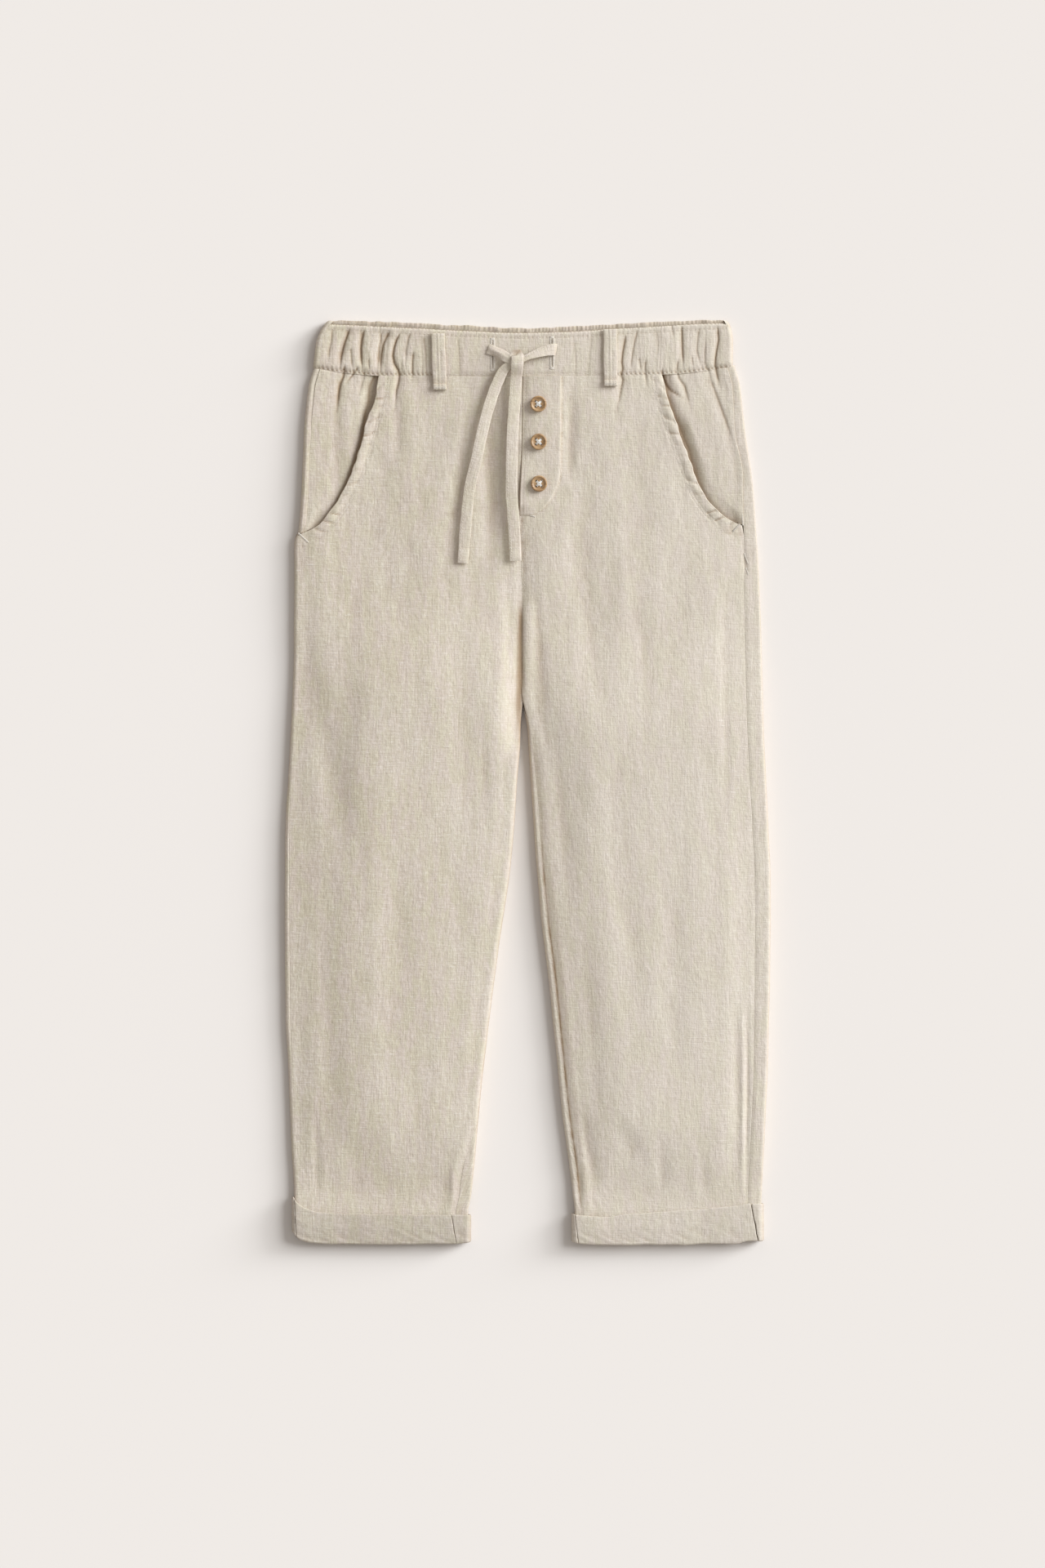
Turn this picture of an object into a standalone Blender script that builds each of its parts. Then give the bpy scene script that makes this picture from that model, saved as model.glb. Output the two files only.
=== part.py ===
"""Child's linen drawstring trousers, laid flat on a surface with the front up.

Frame: +X runs to the wearer's left, +Y up to the waist, +Z off the surface. The origin is under the
middle of the garment. Sizes and tables are in millimetres; meshes are written in metres.

Each leg is a flattened tube of cloth. The back panel lies on the surface and folds up round both edges
of the leg, as far as its side seam and its inseam on top; the front panel spans between those seams.
Places across a tube are measured on its top face and carry on round its folded edges.
"""

import bisect
import math
from collections import namedtuple

import bmesh
import bpy
from mathutils import Vector

MM = 0.001

# Cloth
CLOTH = 1.2  # wall of one layer of linen
SEAM_GAP = 0.3  # between pieces at a seam, and between layers that touch
HALF_GAP = SEAM_GAP / 2

# Heights of the flattened garment over the surface
EDGE_RISE = 5.0  # folded edges of the legs
CROWN = 1.3  # how much higher the middle of a leg lies
WAIST_PUFF = 0.6  # the same at the waist seam
SIDE_SWELL = 22.0  # how far in from each edge a front takes to rise to its full height
INNER_SWELL = 16.0
WAIST_SWELL = 26.0
CUFF_SWELL = 30.0
FLY_FOOT_Y = 160.0  # below the fly the fronts dip to the centre seam
FLY_SWELL = 28.0
GATHER_BELOW = 0.75  # depth of a gather below the waist seam, as a share of its depth on the band
GATHER_RUN = 30.0  # from the waist seam up to where a gather's top is given
GATHER_FADE = 6.0  # gathers flatten out this close to a side seam
BAND_WALL = 2.6  # waistband: two layers of linen over elastic
BAND_WALL_EDGE = 2.4  # the same at its two rounded edges
BAND_RISE = 5.8
BAND_RADIUS = BAND_RISE / 2
BAND_BULGE = 0.2  # its middle stands out between the two rows of stitching
CUFF_RISE = 7.2

# Levels up the garment
WAIST_Y = 279.2  # waist seam at centre front
CROTCH_Y = 124.0
TUBE_Y = 118.0  # below this each leg is a closed tube
CUFF_START_Y = -268.0  # the leg starts to rise into its turn-up
CUFF_FULL_Y = -288.0
BAND_END_LOW_Y = 283.2  # the band's two ends
BAND_END_HIGH_Y = 316.0

# Turn-up: the leg's end folded outward and up
TURN_RADIUS = 1.5  # outside of the bottom fold
TURN_LIP = 3.0  # how far the fold's inner layer runs back up
TURN_GAP = 1.2  # between that layer and the leg's end, hidden inside the turn-up
LEG_SINK = 1.8  # leg cloth below the turn-up's outer face

# Pockets
UNDERLAP = 16.0  # pocket bearer beyond the opening's edge
POCKET_SINK = 0.7  # air between front and bearer
SINK_START = 9.0  # the bearer starts to sink this far outside the opening's edge
SINK_RUN = 8.0
POCKET_FOOT_Y = 175.0  # below this the bearer ends inside the pocket's corner
POCKET_FOOT_INSET = 5.0

# Fly and buttons
FLY_CLOTH = 1.0
BUTTON_RADIUS = 5.6
BUTTON_HEIGHT = 2.4
BUTTON_HOLE_RADIUS = 0.85
BUTTON_HOLE_PLACE = 1.75  # each way from the centre
BUTTON_SIDES = 18

Edge = namedtuple("Edge", "y outer wrap")  # wrap: side seam inside the folded edge
Inner = namedtuple("Inner", "y inner wrap")
Spot = namedtuple("Spot", "x y")
Fold = namedtuple("Fold", "x0 y0 x1 y1 width depth")  # depth below the surface, negative for a ridge
Gather = namedtuple("Gather", "top low tip reach width depth")  # x on the band and below its seam
Level = namedtuple("Level", "side centre")  # of one grid row, at the side seam and at the centre or inseam
Stretch = namedtuple("Stretch", "start count")
Turned = namedtuple("Turned", "radius height")  # as shares of the button's
Hem = namedtuple("Hem", "x top bottom")
Jay = namedtuple("Jay", "y right")
Tape = namedtuple("Tape", "x y z width thick roll")

# Folded outer edges, the wearer's right then left
OUTER_RIGHT = (
    Edge(286.0, -147.2, 4.2), Edge(268.0, -150.6, 4.6), Edge(240.0, -153.6, 4.8), Edge(212.0, -154.8, 4.5),
    Edge(190.0, -156.0, 4.8), Edge(178.0, -157.0, 4.6), Edge(173.5, -157.6, 3.2), Edge(171.2, -158.6, 0.9),
    Edge(169.0, -159.6, 0.8), Edge(163.0, -160.3, 0.7), Edge(100.0, -160.4, 0.5), Edge(33.0, -162.7, 0.6),
    Edge(-23.0, -166.2, 1.2), Edge(-90.0, -166.6, 1.8), Edge(-160.0, -166.2, 1.8),
    Edge(-190.0, -164.6, 1.4), Edge(-246.0, -162.4, 1.0), Edge(-286.0, -160.2, 0.8),
    Edge(-320.0, -160.0, 0.8),
)
OUTER_LEFT = (
    Edge(286.0, 140.6, 5.0), Edge(268.0, 145.0, 5.4), Edge(240.0, 149.2, 7.0), Edge(216.0, 153.2, 6.0),
    Edge(200.0, 155.0, 7.4), Edge(168.0, 157.2, 9.0), Edge(123.0, 159.9, 11.0), Edge(61.0, 161.4, 11.6),
    Edge(16.0, 162.8, 11.6), Edge(-23.0, 165.0, 11.4), Edge(-68.0, 166.4, 11.2), Edge(-135.0, 165.9, 10.6),
    Edge(-190.0, 164.5, 10.0), Edge(-246.0, 162.6, 9.8), Edge(-290.0, 160.6, 9.6), Edge(-320.0, 160.3, 9.6),
)

# Centre seam, and the legs' inner edges below it
CENTRE = (
    Spot(-3.8, 290.0), Spot(-4.0, 240.0), Spot(-5.8, 190.0), Spot(-4.8, 156.0), Spot(-3.9, 124.0),
)
INNER_RIGHT = (
    Inner(118.0, -5.0, 0.0), Inner(72.0, -4.8, 0.0), Inner(33.0, -5.2, 0.0), Inner(0.0, -7.6, 0.0),
    Inner(-45.0, -10.6, 0.0), Inner(-107.0, -19.0, 0.0), Inner(-143.0, -24.0, 0.0),
    Inner(-191.0, -29.6, 0.0), Inner(-225.0, -33.2, 0.2), Inner(-247.0, -35.4, 4.0),
    Inner(-268.0, -37.4, 7.6), Inner(-284.0, -39.2, 8.0), Inner(-293.0, -41.0, 8.0),
    Inner(-320.0, -41.2, 8.0),
)
INNER_LEFT = (
    Inner(118.0, -2.8, 0.0), Inner(72.0, -2.0, 1.0), Inner(33.0, 0.0, 2.6), Inner(0.0, 2.0, 3.8),
    Inner(-40.0, 4.8, 4.4), Inner(-84.0, 8.2, 4.8), Inner(-135.0, 14.2, 5.0), Inner(-185.0, 19.6, 4.7),
    Inner(-230.0, 24.2, 4.9), Inner(-263.0, 28.8, 4.9), Inner(-284.0, 31.2, 4.5), Inner(-293.0, 32.2, 4.5),
    Inner(-320.0, 32.4, 4.5),
)

# Waist seam, and the two bands above it
WAIST_SEAM = (
    Spot(-150.0, 285.0), Spot(-132.0, 282.4), Spot(-99.0, 279.8), Spot(-3.6, 279.2), Spot(97.0, 280.6),
    Spot(145.0, 285.6),
)
BAND_TOP_FRONT = (
    Spot(-141.0, 315.0), Spot(-70.0, 311.8), Spot(0.0, 308.8), Spot(70.0, 312.4), Spot(138.0, 315.6),
)
BAND_TOP_BACK = (
    Spot(-139.0, 317.6), Spot(-70.0, 315.6), Spot(0.0, 312.4), Spot(70.0, 315.8), Spot(136.0, 317.8),
)
BAND_EDGE_RIGHT = (
    Edge(319.0, -137.0, 3.6), Edge(315.0, -139.8, 4.2), Edge(303.0, -143.4, 4.4), Edge(284.0, -147.4, 4.6),
)
BAND_EDGE_LEFT = (
    Edge(319.0, 135.2, 2.4), Edge(315.0, 138.6, 3.0), Edge(303.0, 140.9, 3.4), Edge(284.0, 140.7, 3.6),
)

# Pocket openings, from the waist seam to the side seam
POCKET_RIGHT = (
    Spot(-102.2, 280.4), Spot(-105.4, 262.0), Spot(-109.4, 252.0), Spot(-114.6, 233.2), Spot(-119.6, 217.0),
    Spot(-127.6, 199.2), Spot(-134.4, 188.6), Spot(-143.2, 178.4), Spot(-150.4, 173.6), Spot(-155.0, 171.6),
    Spot(-158.0, 170.3),
)
POCKET_LEFT = (
    Spot(92.0, 281.0), Spot(97.2, 261.2), Spot(104.4, 240.0), Spot(111.6, 220.6), Spot(115.8, 208.6),
    Spot(121.8, 197.2), Spot(130.2, 187.3), Spot(138.8, 180.9), Spot(144.4, 178.0), Spot(148.4, 176.4),
)

# Gathers that the elastic draws in, from the band's top edge to below its seam
GATHERS = (
    Gather(-134.5, -139.0, -141.0, 16.0, 2.0, 0.8), Gather(-121.8, -128.0, -131.0, 34.0, 2.6, 1.3),
    Gather(-111.2, -113.2, -114.0, 18.0, 2.2, 1.0), Gather(-97.4, -100.8, -99.0, 12.0, 2.4, 1.3),
    Gather(-86.6, -89.0, -92.0, 34.0, 2.6, 1.3), Gather(-79.4, -80.6, -80.0, 14.0, 1.9, 0.8),
    Gather(-70.4, -68.2, -66.0, 20.0, 2.2, 1.0), Gather(-48.4, -47.0, -46.0, 12.0, 2.6, 0.4),
    Gather(30.0, 32.6, 33.0, 26.0, 2.8, 0.5), Gather(43.6, 42.0, 41.0, 16.0, 2.6, 0.5),
    Gather(66.4, 66.0, 61.6, 32.0, 2.4, 1.2), Gather(75.0, 76.0, 78.0, 16.0, 2.0, 0.9),
    Gather(86.4, 85.6, 85.0, 12.0, 2.0, 0.7), Gather(99.4, 98.0, 100.0, 16.0, 2.4, 1.2),
    Gather(106.4, 106.0, 108.0, 22.0, 2.2, 1.2), Gather(114.6, 114.4, 116.0, 16.0, 1.9, 0.7),
    Gather(121.8, 123.4, 142.0, 54.0, 2.5, 1.2), Gather(130.6, 130.6, 133.0, 18.0, 2.2, 1.1),
)

# Largest folds of the fronts
FOLDS = (
    Fold(-24.0, 268.0, -21.0, 160.0, 7.0, 0.8), Fold(30.0, 276.0, 29.0, 204.0, 4.5, 0.9),
    Fold(34.0, 190.0, 50.0, 40.0, 9.0, 0.9), Fold(60.0, 250.0, 66.0, 60.0, 9.0, -0.5),
    Fold(-66.0, 240.0, -72.0, 20.0, 12.0, -0.5), Fold(-46.0, 140.0, -40.0, -60.0, 9.0, 0.7),
    Fold(-118.0, 170.0, -128.0, -40.0, 10.0, 0.6), Fold(-88.0, -20.0, -92.0, -230.0, 11.0, 0.6),
    Fold(-138.0, -60.0, -136.0, -262.0, 8.0, 0.6), Fold(-58.0, -120.0, -66.0, -280.0, 8.0, -0.5),
    Fold(137.5, 150.0, 136.0, -30.0, 4.5, 0.8), Fold(112.0, 130.0, 116.0, -120.0, 10.0, -0.5),
    Fold(60.0, 10.0, 76.0, -190.0, 10.0, 0.7), Fold(98.0, -60.0, 104.0, -240.0, 9.0, 0.6),
    Fold(36.0, -225.0, 50.0, -290.0, 5.0, 1.0), Fold(58.0, -228.0, 84.0, -268.0, 7.0, 0.7),
    Fold(143.0, -140.0, 145.0, -284.0, 4.0, 0.9), Fold(92.0, -238.0, 93.0, -290.0, 5.0, 0.6),
)

# Turn-ups: upper edge and bottom fold
HEM_RIGHT = (
    Hem(-162.0, -283.0, -308.2), Hem(-157.2, -288.4, -312.4), Hem(-152.0, -291.4, -314.2),
    Hem(-143.6, -293.6, -315.2), Hem(-121.0, -294.9, -316.0), Hem(-52.0, -295.3, -315.6),
    Hem(-38.0, -295.3, -314.6),
)
HEM_LEFT = (
    Hem(30.0, -294.6, -315.0), Hem(36.0, -295.6, -315.6), Hem(50.0, -296.6, -316.6),
    Hem(64.0, -295.6, -316.9), Hem(86.0, -293.8, -316.2), Hem(114.0, -291.6, -315.6),
    Hem(142.0, -289.4, -315.4), Hem(151.5, -287.8, -313.4), Hem(162.5, -288.2, -313.6),
)
CUFF_EDGES = {  # folded edges, and how far inside them the turn-up's seams lie
    "right": dict(inner=-38.9, outer=-161.9, inner_wrap=11.4, outer_wrap=0.9),
    "left": dict(inner=30.1, outer=162.2, inner_wrap=2.4, outer_wrap=7.0),
}

# Fly placket: its folded edge lies along the centre seam, its stitched edge is a J
FLY_EDGE = (
    Jay(278.8, 24.4), Jay(262.0, 24.5), Jay(246.0, 24.5), Jay(230.0, 24.4), Jay(216.0, 24.0),
    Jay(207.0, 22.6), Jay(199.0, 19.6), Jay(192.0, 15.2), Jay(187.0, 9.8), Jay(183.6, 3.4),
)
FLY_COLUMNS = 6
BUTTONS = (Spot(7.2, 260.0), Spot(7.4, 234.1), Spot(7.7, 205.4))
BUTTON_PROFILE = (  # from the underside, over the raised rim, into the dished middle
    Turned(0.74, 0.0), Turned(0.96, 0.3), Turned(1.0, 0.6), Turned(0.95, 0.95), Turned(0.82, 1.0),
    Turned(0.7, 0.86), Turned(0.5, 0.72),
)

# Belt loops: centre line at the top and at the sewn bar below the waist seam
LOOPS = {"right": (Spot(-61.7, 308.6), Spot(-60.2, 269.8)), "left": (Spot(56.4, 311.4), Spot(56.9, 272.4))}
LOOP_WIDTH = 9.6
LOOP_CLOTH = 1.4
LOOP_BAR = 4.0  # folded end below the waist seam
LOOP_BAR_CLOTH = 2.2
LOOP_ARCH = 0.3  # its middle stands over its edges
LOOP_SHARES = (0.0, 0.12, 0.3, 0.5, 0.68, 0.8, 0.895, 0.905, 1.0)  # down the loop, close at the bar's step

# Drawstring, a flat tape: each stretch from its upper end
DRAWSTRING = {
    "drawstring_lead_right": (
        Tape(-26.6, 298.4, 7.2, 5.0, 1.0, 8.0), Tape(-22.0, 295.8, 8.0, 6.6, 1.0, 8.0),
        Tape(-18.0, 293.2, 8.8, 7.0, 1.0, 4.0), Tape(-14.6, 290.8, 9.2, 6.6, 1.0, 0.0),
    ),
    "drawstring_lead_left": (
        Tape(18.8, 298.0, 6.9, 8.2, 1.0, 0.0), Tape(12.0, 296.8, 7.8, 7.4, 1.0, -6.0),
        Tape(5.0, 294.4, 8.7, 5.6, 1.0, -12.0), Tape(-1.0, 291.8, 9.2, 4.2, 1.0, -14.0),
    ),
    "drawstring_tail_left": (
        Tape(-7.6, 281.6, 9.6, 8.0, 1.0, 0.0), Tape(-8.6, 268.0, 9.0, 8.0, 1.0, 4.0),
        Tape(-9.8, 250.0, 8.5, 8.2, 1.0, 3.0), Tape(-10.9, 224.0, 9.0, 8.2, 1.0, 0.0),
        Tape(-11.2, 201.0, 9.4, 8.2, 1.0, -3.0), Tape(-9.7, 179.0, 8.8, 8.2, 1.0, -2.0),
        Tape(-8.8, 163.4, 8.2, 8.2, 1.0, 0.0), Tape(-8.6, 161.6, 8.2, 8.2, 1.8, 0.0),
        Tape(-8.4, 152.6, 8.0, 8.2, 1.8, 0.0),
    ),
    "drawstring_tail_right": (
        Tape(-16.2, 284.0, 8.4, 7.2, 1.0, 0.0), Tape(-23.2, 268.5, 8.4, 7.8, 1.0, 4.0),
        Tape(-28.0, 253.4, 8.8, 7.8, 1.0, 5.0), Tape(-32.1, 236.6, 8.9, 7.8, 1.0, 3.0),
        Tape(-35.2, 222.0, 8.6, 7.8, 1.0, 0.0), Tape(-40.0, 201.3, 8.2, 7.8, 1.0, -3.0),
        Tape(-42.4, 178.9, 8.4, 7.8, 1.0, -3.0), Tape(-43.8, 160.8, 8.1, 7.8, 1.0, 0.0),
        Tape(-43.9, 159.2, 8.1, 7.8, 1.8, 0.0), Tape(-44.6, 150.9, 8.0, 7.8, 1.8, 0.0),
    ),
}
KNOT_CENTRE = (-8.2, 287.4, 9.4)
KNOT_HALF = (6.2, 5.4, 3.0)
KNOT_SQUARENESS = 0.72  # power that flattens a ball's faces: 1 leaves it round
TAPE_STEP = 9.0  # a cross-section about this often

# Colours, roughness
LINEN = ((0.62, 0.55, 0.44, 1.0), 0.9)
TAPE_LINEN = ((0.64, 0.57, 0.46, 1.0), 0.9)
BUTTON_WOOD = ((0.42, 0.25, 0.12, 1.0), 0.45)

# Rows of the mesh grids, as levels up the garment
BACK_ROWS = (
    279.2, 268.0, 254.0, 240.0, 224.0, 208.0, 194.0, 184.0, 178.0, 173.5, 171.2, 169.0, 163.0, 150.0, 136.0,
    124.6, 121.4, 118.0, 104.0, 84.0, 60.0, 34.0, 6.0, -24.0, -56.0, -90.0, -124.0, -158.0, -190.0, -220.0,
    -242.0, -258.0, -268.0, -278.0, -288.0, -300.0, -311.0,
)
FRONT_ROWS = [
    Level(169.0, 186.0), Level(163.0, 172.0), Level(152.0, 158.0), Level(140.0, 144.0), Level(129.0, 132.0),
    Level(122.0, 124.6), Level(119.0, 121.4), Level(115.0, 118.0), Level(102.0, 104.0), Level(83.0, 84.0),
]
FRONT_ROWS += [Level(y, y) for y in BACK_ROWS if y < FRONT_ROWS[-1].side]
ROWS_CURVE_Y = 238.0  # grid rows above this curve with the waist seam
ROWS_TO_HEM = 20.0  # and grid rows this far below CUFF_FULL_Y follow the turn-up
POCKET_ROWS = 11  # grid rows of a front along its pocket opening
POCKET_CENTRE_Y = 194.0  # where the last of them meets the centre seam
BEARER_COLUMNS = 15
BEARER_ROWS = 12  # the first rows of a back, which its pocket bearer shares
FRONT_COLUMNS = 15
FRONT_CROWDING = 0.6  # spacing of a front's columns at its outer edge, as a share of their mean
WRAP_COLUMNS = 4
TORSO_PLAIN = 5.0  # flat end of a back panel beside the centre seam
FLAT_COLUMNS = (0.0, 0.06, 0.14, 0.32, 0.66)  # shares across a flat underside, from the outer edge
BAND_COLUMNS = (Stretch(-1.0, 27), Stretch(-0.48, 11), Stretch(0.44, 28), Stretch(1.0, 1))  # along the band
BAND_BACK_COLUMNS = (0.05, 0.13, 0.3, 0.5, 0.7, 0.87, 0.95)
TURN_UP_WRAP = 5
FOLD_STEPS = 4
TURN_UP_COLUMNS = (0.0, 0.02, 0.05, 0.1, 0.17, 0.3, 0.45, 0.6, 0.75, 0.9, 1.0)


# ---------------------------------------------------------------- numbers and tables


def smooth(value):
    """0 below 0, 1 above 1, with a soft step between."""
    value = min(1.0, max(0.0, value))
    return value * value * (3.0 - 2.0 * value)


def mix(a, b, share):
    return a + (b - a) * share


def curve(rows, key, column):
    """A function that reads a table's column at any value of its key, on a curve that never overshoots."""
    pairs = sorted((getattr(row, key), getattr(row, column)) for row in rows)
    keys = [pair[0] for pair in pairs]
    values = [pair[1] for pair in pairs]
    steps = [(values[i + 1] - values[i]) / (keys[i + 1] - keys[i]) for i in range(len(keys) - 1)]
    slopes = [steps[0]]
    for before, after in zip(steps, steps[1:]):
        slopes.append(0.0 if before * after <= 0.0 else 2.0 * before * after / (before + after))
    slopes.append(steps[-1])

    def read(at):
        if at <= keys[0]:
            return values[0]
        if at >= keys[-1]:
            return values[-1]
        i = bisect.bisect_right(keys, at) - 1
        span = keys[i + 1] - keys[i]
        t = (at - keys[i]) / span
        rise = values[i] * (1 + 2 * t) * (1 - t) ** 2 + values[i + 1] * t * t * (3 - 2 * t)
        return rise + span * (slopes[i] * t * (1 - t) ** 2 - slopes[i + 1] * t * t * (1 - t))

    return read


waist_seam = curve(WAIST_SEAM, "x", "y")
centre_seam = curve(CENTRE, "y", "x")


class Side:
    """One side of the garment. Across it, places are counted outward from the middle, so its folded
    outer edge is at the larger number on both sides."""

    def __init__(self, name, sign, outer, inner, pocket, hem, band):
        self.name = name
        self.sign = sign
        self.outer_x = curve(outer, "y", "outer")
        self.outer_wrap = curve(outer, "y", "wrap")
        self.inner_x = curve(inner, "y", "inner")
        self.inner_wrap = curve(inner, "y", "wrap")
        self.band_x = curve(band, "y", "outer")
        self.band_wrap = curve(band, "y", "wrap")
        self.pocket = [Vector((sign * spot.x, spot.y)) for spot in pocket]
        self.hem_top = curve(hem, "x", "top")
        self.hem_bottom = curve(hem, "x", "bottom")

    def closed(self, y):
        """0 where the two sides are one body, 1 where this leg is a tube of its own."""
        return smooth((CROTCH_Y + 0.5 - y) / (CROTCH_Y + 0.5 - TUBE_Y))

    def inner(self, y):
        torso = self.sign * centre_seam(y) + HALF_GAP
        leg = self.sign * self.inner_x(y)
        return mix(torso, leg, self.closed(y))

    def outer(self, y):
        return self.sign * self.outer_x(y)


SIDES = {
    "right": Side("right", -1, OUTER_RIGHT, INNER_RIGHT, POCKET_RIGHT, HEM_RIGHT, BAND_EDGE_RIGHT),
    "left": Side("left", 1, OUTER_LEFT, INNER_LEFT, POCKET_LEFT, HEM_LEFT, BAND_EDGE_LEFT),
}


# ---------------------------------------------------------------- heights of the front


def lift(y):
    """Underside of the back panel over the surface: it rises onto the turn-up's back."""
    return LEG_SINK * smooth((CUFF_START_Y - y) / (CUFF_START_Y - CUFF_FULL_Y))


def edge_rise(y):
    """Top of the folded edges of the leg."""
    inside_cuff = CUFF_RISE - LEG_SINK
    return mix(EDGE_RISE, inside_cuff, smooth((CUFF_START_Y - y) / (CUFF_START_Y - CUFF_FULL_Y)))


def fold_depth(x, y):
    """How deep the large folds are at a place."""
    total = 0.0
    for fold in FOLDS:
        run = Vector((fold.x1 - fold.x0, fold.y1 - fold.y0))
        away = Vector((x - fold.x0, y - fold.y0))
        share = away.dot(run) / run.length_squared
        if not 0.0 < share < 1.0:
            continue
        sideways = abs(away.cross(run)) / run.length
        if sideways > 2.5 * fold.width:
            continue
        total += fold.depth * math.sin(math.pi * share) ** 0.8 * math.exp(-((sideways / fold.width) ** 2))
    return total


def gather_depth(x, y):
    """How deep the gathers are at a place on the band, or on the panels below it."""
    seam = waist_seam(x)
    total = 0.0
    for gather in GATHERS:
        if y >= seam:
            line = mix(gather.low, gather.top, (y - seam) / GATHER_RUN)
            fade = 1.0
        else:
            share = (seam - y) / gather.reach
            if share >= 1.0:
                continue
            line = mix(gather.low, gather.tip, share)
            fade = (1.0 - share) ** 1.5
        total += gather.depth * fade * math.exp(-(((x - line) / gather.width) ** 2))
    return total


def seam_place(edge, wrap, radius):
    """Where a seam lies across a tube's top face, when it is wrap inside the folded edge."""
    if wrap >= radius:
        return edge - wrap
    return edge - radius + radius * math.asin(1.0 - wrap / radius)


def leg_radius(y):
    return (edge_rise(y) - lift(y)) / 2


def side_seam(side, y):
    return seam_place(side.outer(y), side.outer_wrap(y), leg_radius(y))


def front_height(side, across, y):
    """Top face of the front over the surface."""
    from_side = side_seam(side, y) - across
    from_inner = across - side.inner(y)
    beside_fly = smooth((y - FLY_FOOT_Y) / FLY_SWELL)
    swell = smooth(from_side / SIDE_SWELL) * mix(smooth(from_inner / INNER_SWELL), 1.0, beside_fly)
    below_waist = smooth((waist_seam(side.sign * across) - y) / WAIST_SWELL)
    above_cuff = smooth((y - CUFF_FULL_Y) / CUFF_SWELL)
    x = side.sign * across
    puff = mix(WAIST_PUFF, CROWN, below_waist) - fold_depth(x, y)
    return edge_rise(y) + puff * swell * above_cuff - panel_gather(side, across, y)


def panel_gather(side, across, y):
    """How deep the gathers run on a panel below the waist seam."""
    from_side = side_seam(side, y) - across
    return GATHER_BELOW * gather_depth(side.sign * across, y) * smooth(from_side / GATHER_FADE)


# ---------------------------------------------------------------- meshes


def clear_scene():
    for item in list(bpy.data.objects):
        bpy.data.objects.remove(item, do_unlink=True)


def material(name, look):
    colour, roughness = look
    made = bpy.data.materials.new(name)
    made.use_nodes = True
    shader = made.node_tree.nodes["Principled BSDF"]
    shader.inputs["Base Color"].default_value = colour
    shader.inputs["Roughness"].default_value = roughness
    shader.inputs["Metallic"].default_value = 0.0
    return made


def add_object(name, mesh_data, look):
    mesh_data.materials.append(look)
    made = bpy.data.objects.new(name, mesh_data)
    bpy.context.scene.collection.objects.link(made)
    return made


def wall(name, outside, inside, look):
    """A closed wall from two grids of points, its outer and its inner face."""
    bm = bmesh.new()
    faces = []
    grids = [[[bm.verts.new(Vector(p) * MM) for p in row] for row in grid] for grid in (outside, inside)]
    rows, columns = len(outside), len(outside[0])
    for grid in grids:
        for i in range(rows - 1):
            for j in range(columns - 1):
                faces.append((grid[i][j], grid[i][j + 1], grid[i + 1][j + 1], grid[i + 1][j]))
    rim = [(0, j) for j in range(columns)]
    rim += [(i, columns - 1) for i in range(1, rows)]
    rim += [(rows - 1, j) for j in range(columns - 2, -1, -1)]
    rim += [(i, 0) for i in range(rows - 2, 0, -1)]
    for (i, j), (k, m) in zip(rim, rim[1:] + rim[:1]):
        faces.append((grids[0][i][j], grids[0][k][m], grids[1][k][m], grids[1][i][j]))
    for face in faces:
        bm.faces.new(face)
    bmesh.ops.recalc_face_normals(bm, faces=bm.faces)
    data = bpy.data.meshes.new(name)
    bm.to_mesh(data)
    bm.free()
    data.shade_smooth()
    data.set_sharp_from_angle(angle=math.radians(50.0))
    return add_object(name, data, look)


# ---------------------------------------------------------------- leg panels


def over(side, across, y, depth):
    """A point of the cloth that covers the top of a leg and carries on round its edges, depth inside
    its outer face."""
    radius = leg_radius(y)
    start = side.outer(y) - radius
    if across > start:
        angle = (across - start) / radius
        spot = start + (radius - depth) * math.sin(angle)
        height = lift(y) + radius + (radius - depth) * math.cos(angle)
        return spot, height
    begin = inner_begin(side, y)
    if across < begin and side.closed(y) > 0.0:
        angle = (begin - across) / radius
        height = front_height(side, begin, y) - radius + (radius - depth) * math.cos(angle)
        return begin - (radius - depth) * math.sin(angle), height
    return across, front_height(side, across, y) - depth


def inner_angle(side, y):
    """How far round the inner edge, from the top, the inseam lies."""
    radius = leg_radius(y)
    return math.asin(1.0 - min(side.inner_wrap(y), radius) / radius)


def inner_begin(side, y):
    """Where the cloth starts to turn down at a leg's inner edge."""
    return side.inner(y) + leg_radius(y) * math.sin(side.closed(y) * math.pi / 2)


def inseam(side, y):
    """Where the centre seam or the inseam lies across the top face."""
    wrap, radius = side.inner_wrap(y), leg_radius(y)
    if wrap >= radius and y < TUBE_Y:
        return side.inner(y) + wrap
    return inner_begin(side, y) - radius * side.closed(y) * inner_angle(side, y)


def levelled(side, across, y):
    """A grid row's level at a place: rows follow the waist seam at the top and the turn-up below."""
    x = side.sign * across
    at_hem = smooth((CUFF_FULL_Y - y) / ROWS_TO_HEM)
    end = side.hem_bottom(x + side.sign * LEG_SINK) + TURN_RADIUS + TURN_LIP + TURN_GAP
    y += (waist_seam(x) - HALF_GAP - WAIST_Y) * smooth((y - ROWS_CURVE_Y) / (WAIST_Y - ROWS_CURVE_Y))
    return mix(y, end + (y - BACK_ROWS[-1]), at_hem)


def pocket_points(side, count):
    """Points evenly spaced along a pocket opening, from the waist seam down."""
    spots = side.pocket
    lengths = [0.0]
    for a, b in zip(spots, spots[1:]):
        lengths.append(lengths[-1] + (b - a).length)
    Step = namedtuple("Step", "run across y")
    steps = [Step(run, spot.x, spot.y) for run, spot in zip(lengths, spots)]
    across, level = curve(steps, "run", "across"), curve(steps, "run", "y")
    return [(across(lengths[-1] * i / count), level(lengths[-1] * i / count)) for i in range(count + 1)]


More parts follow.
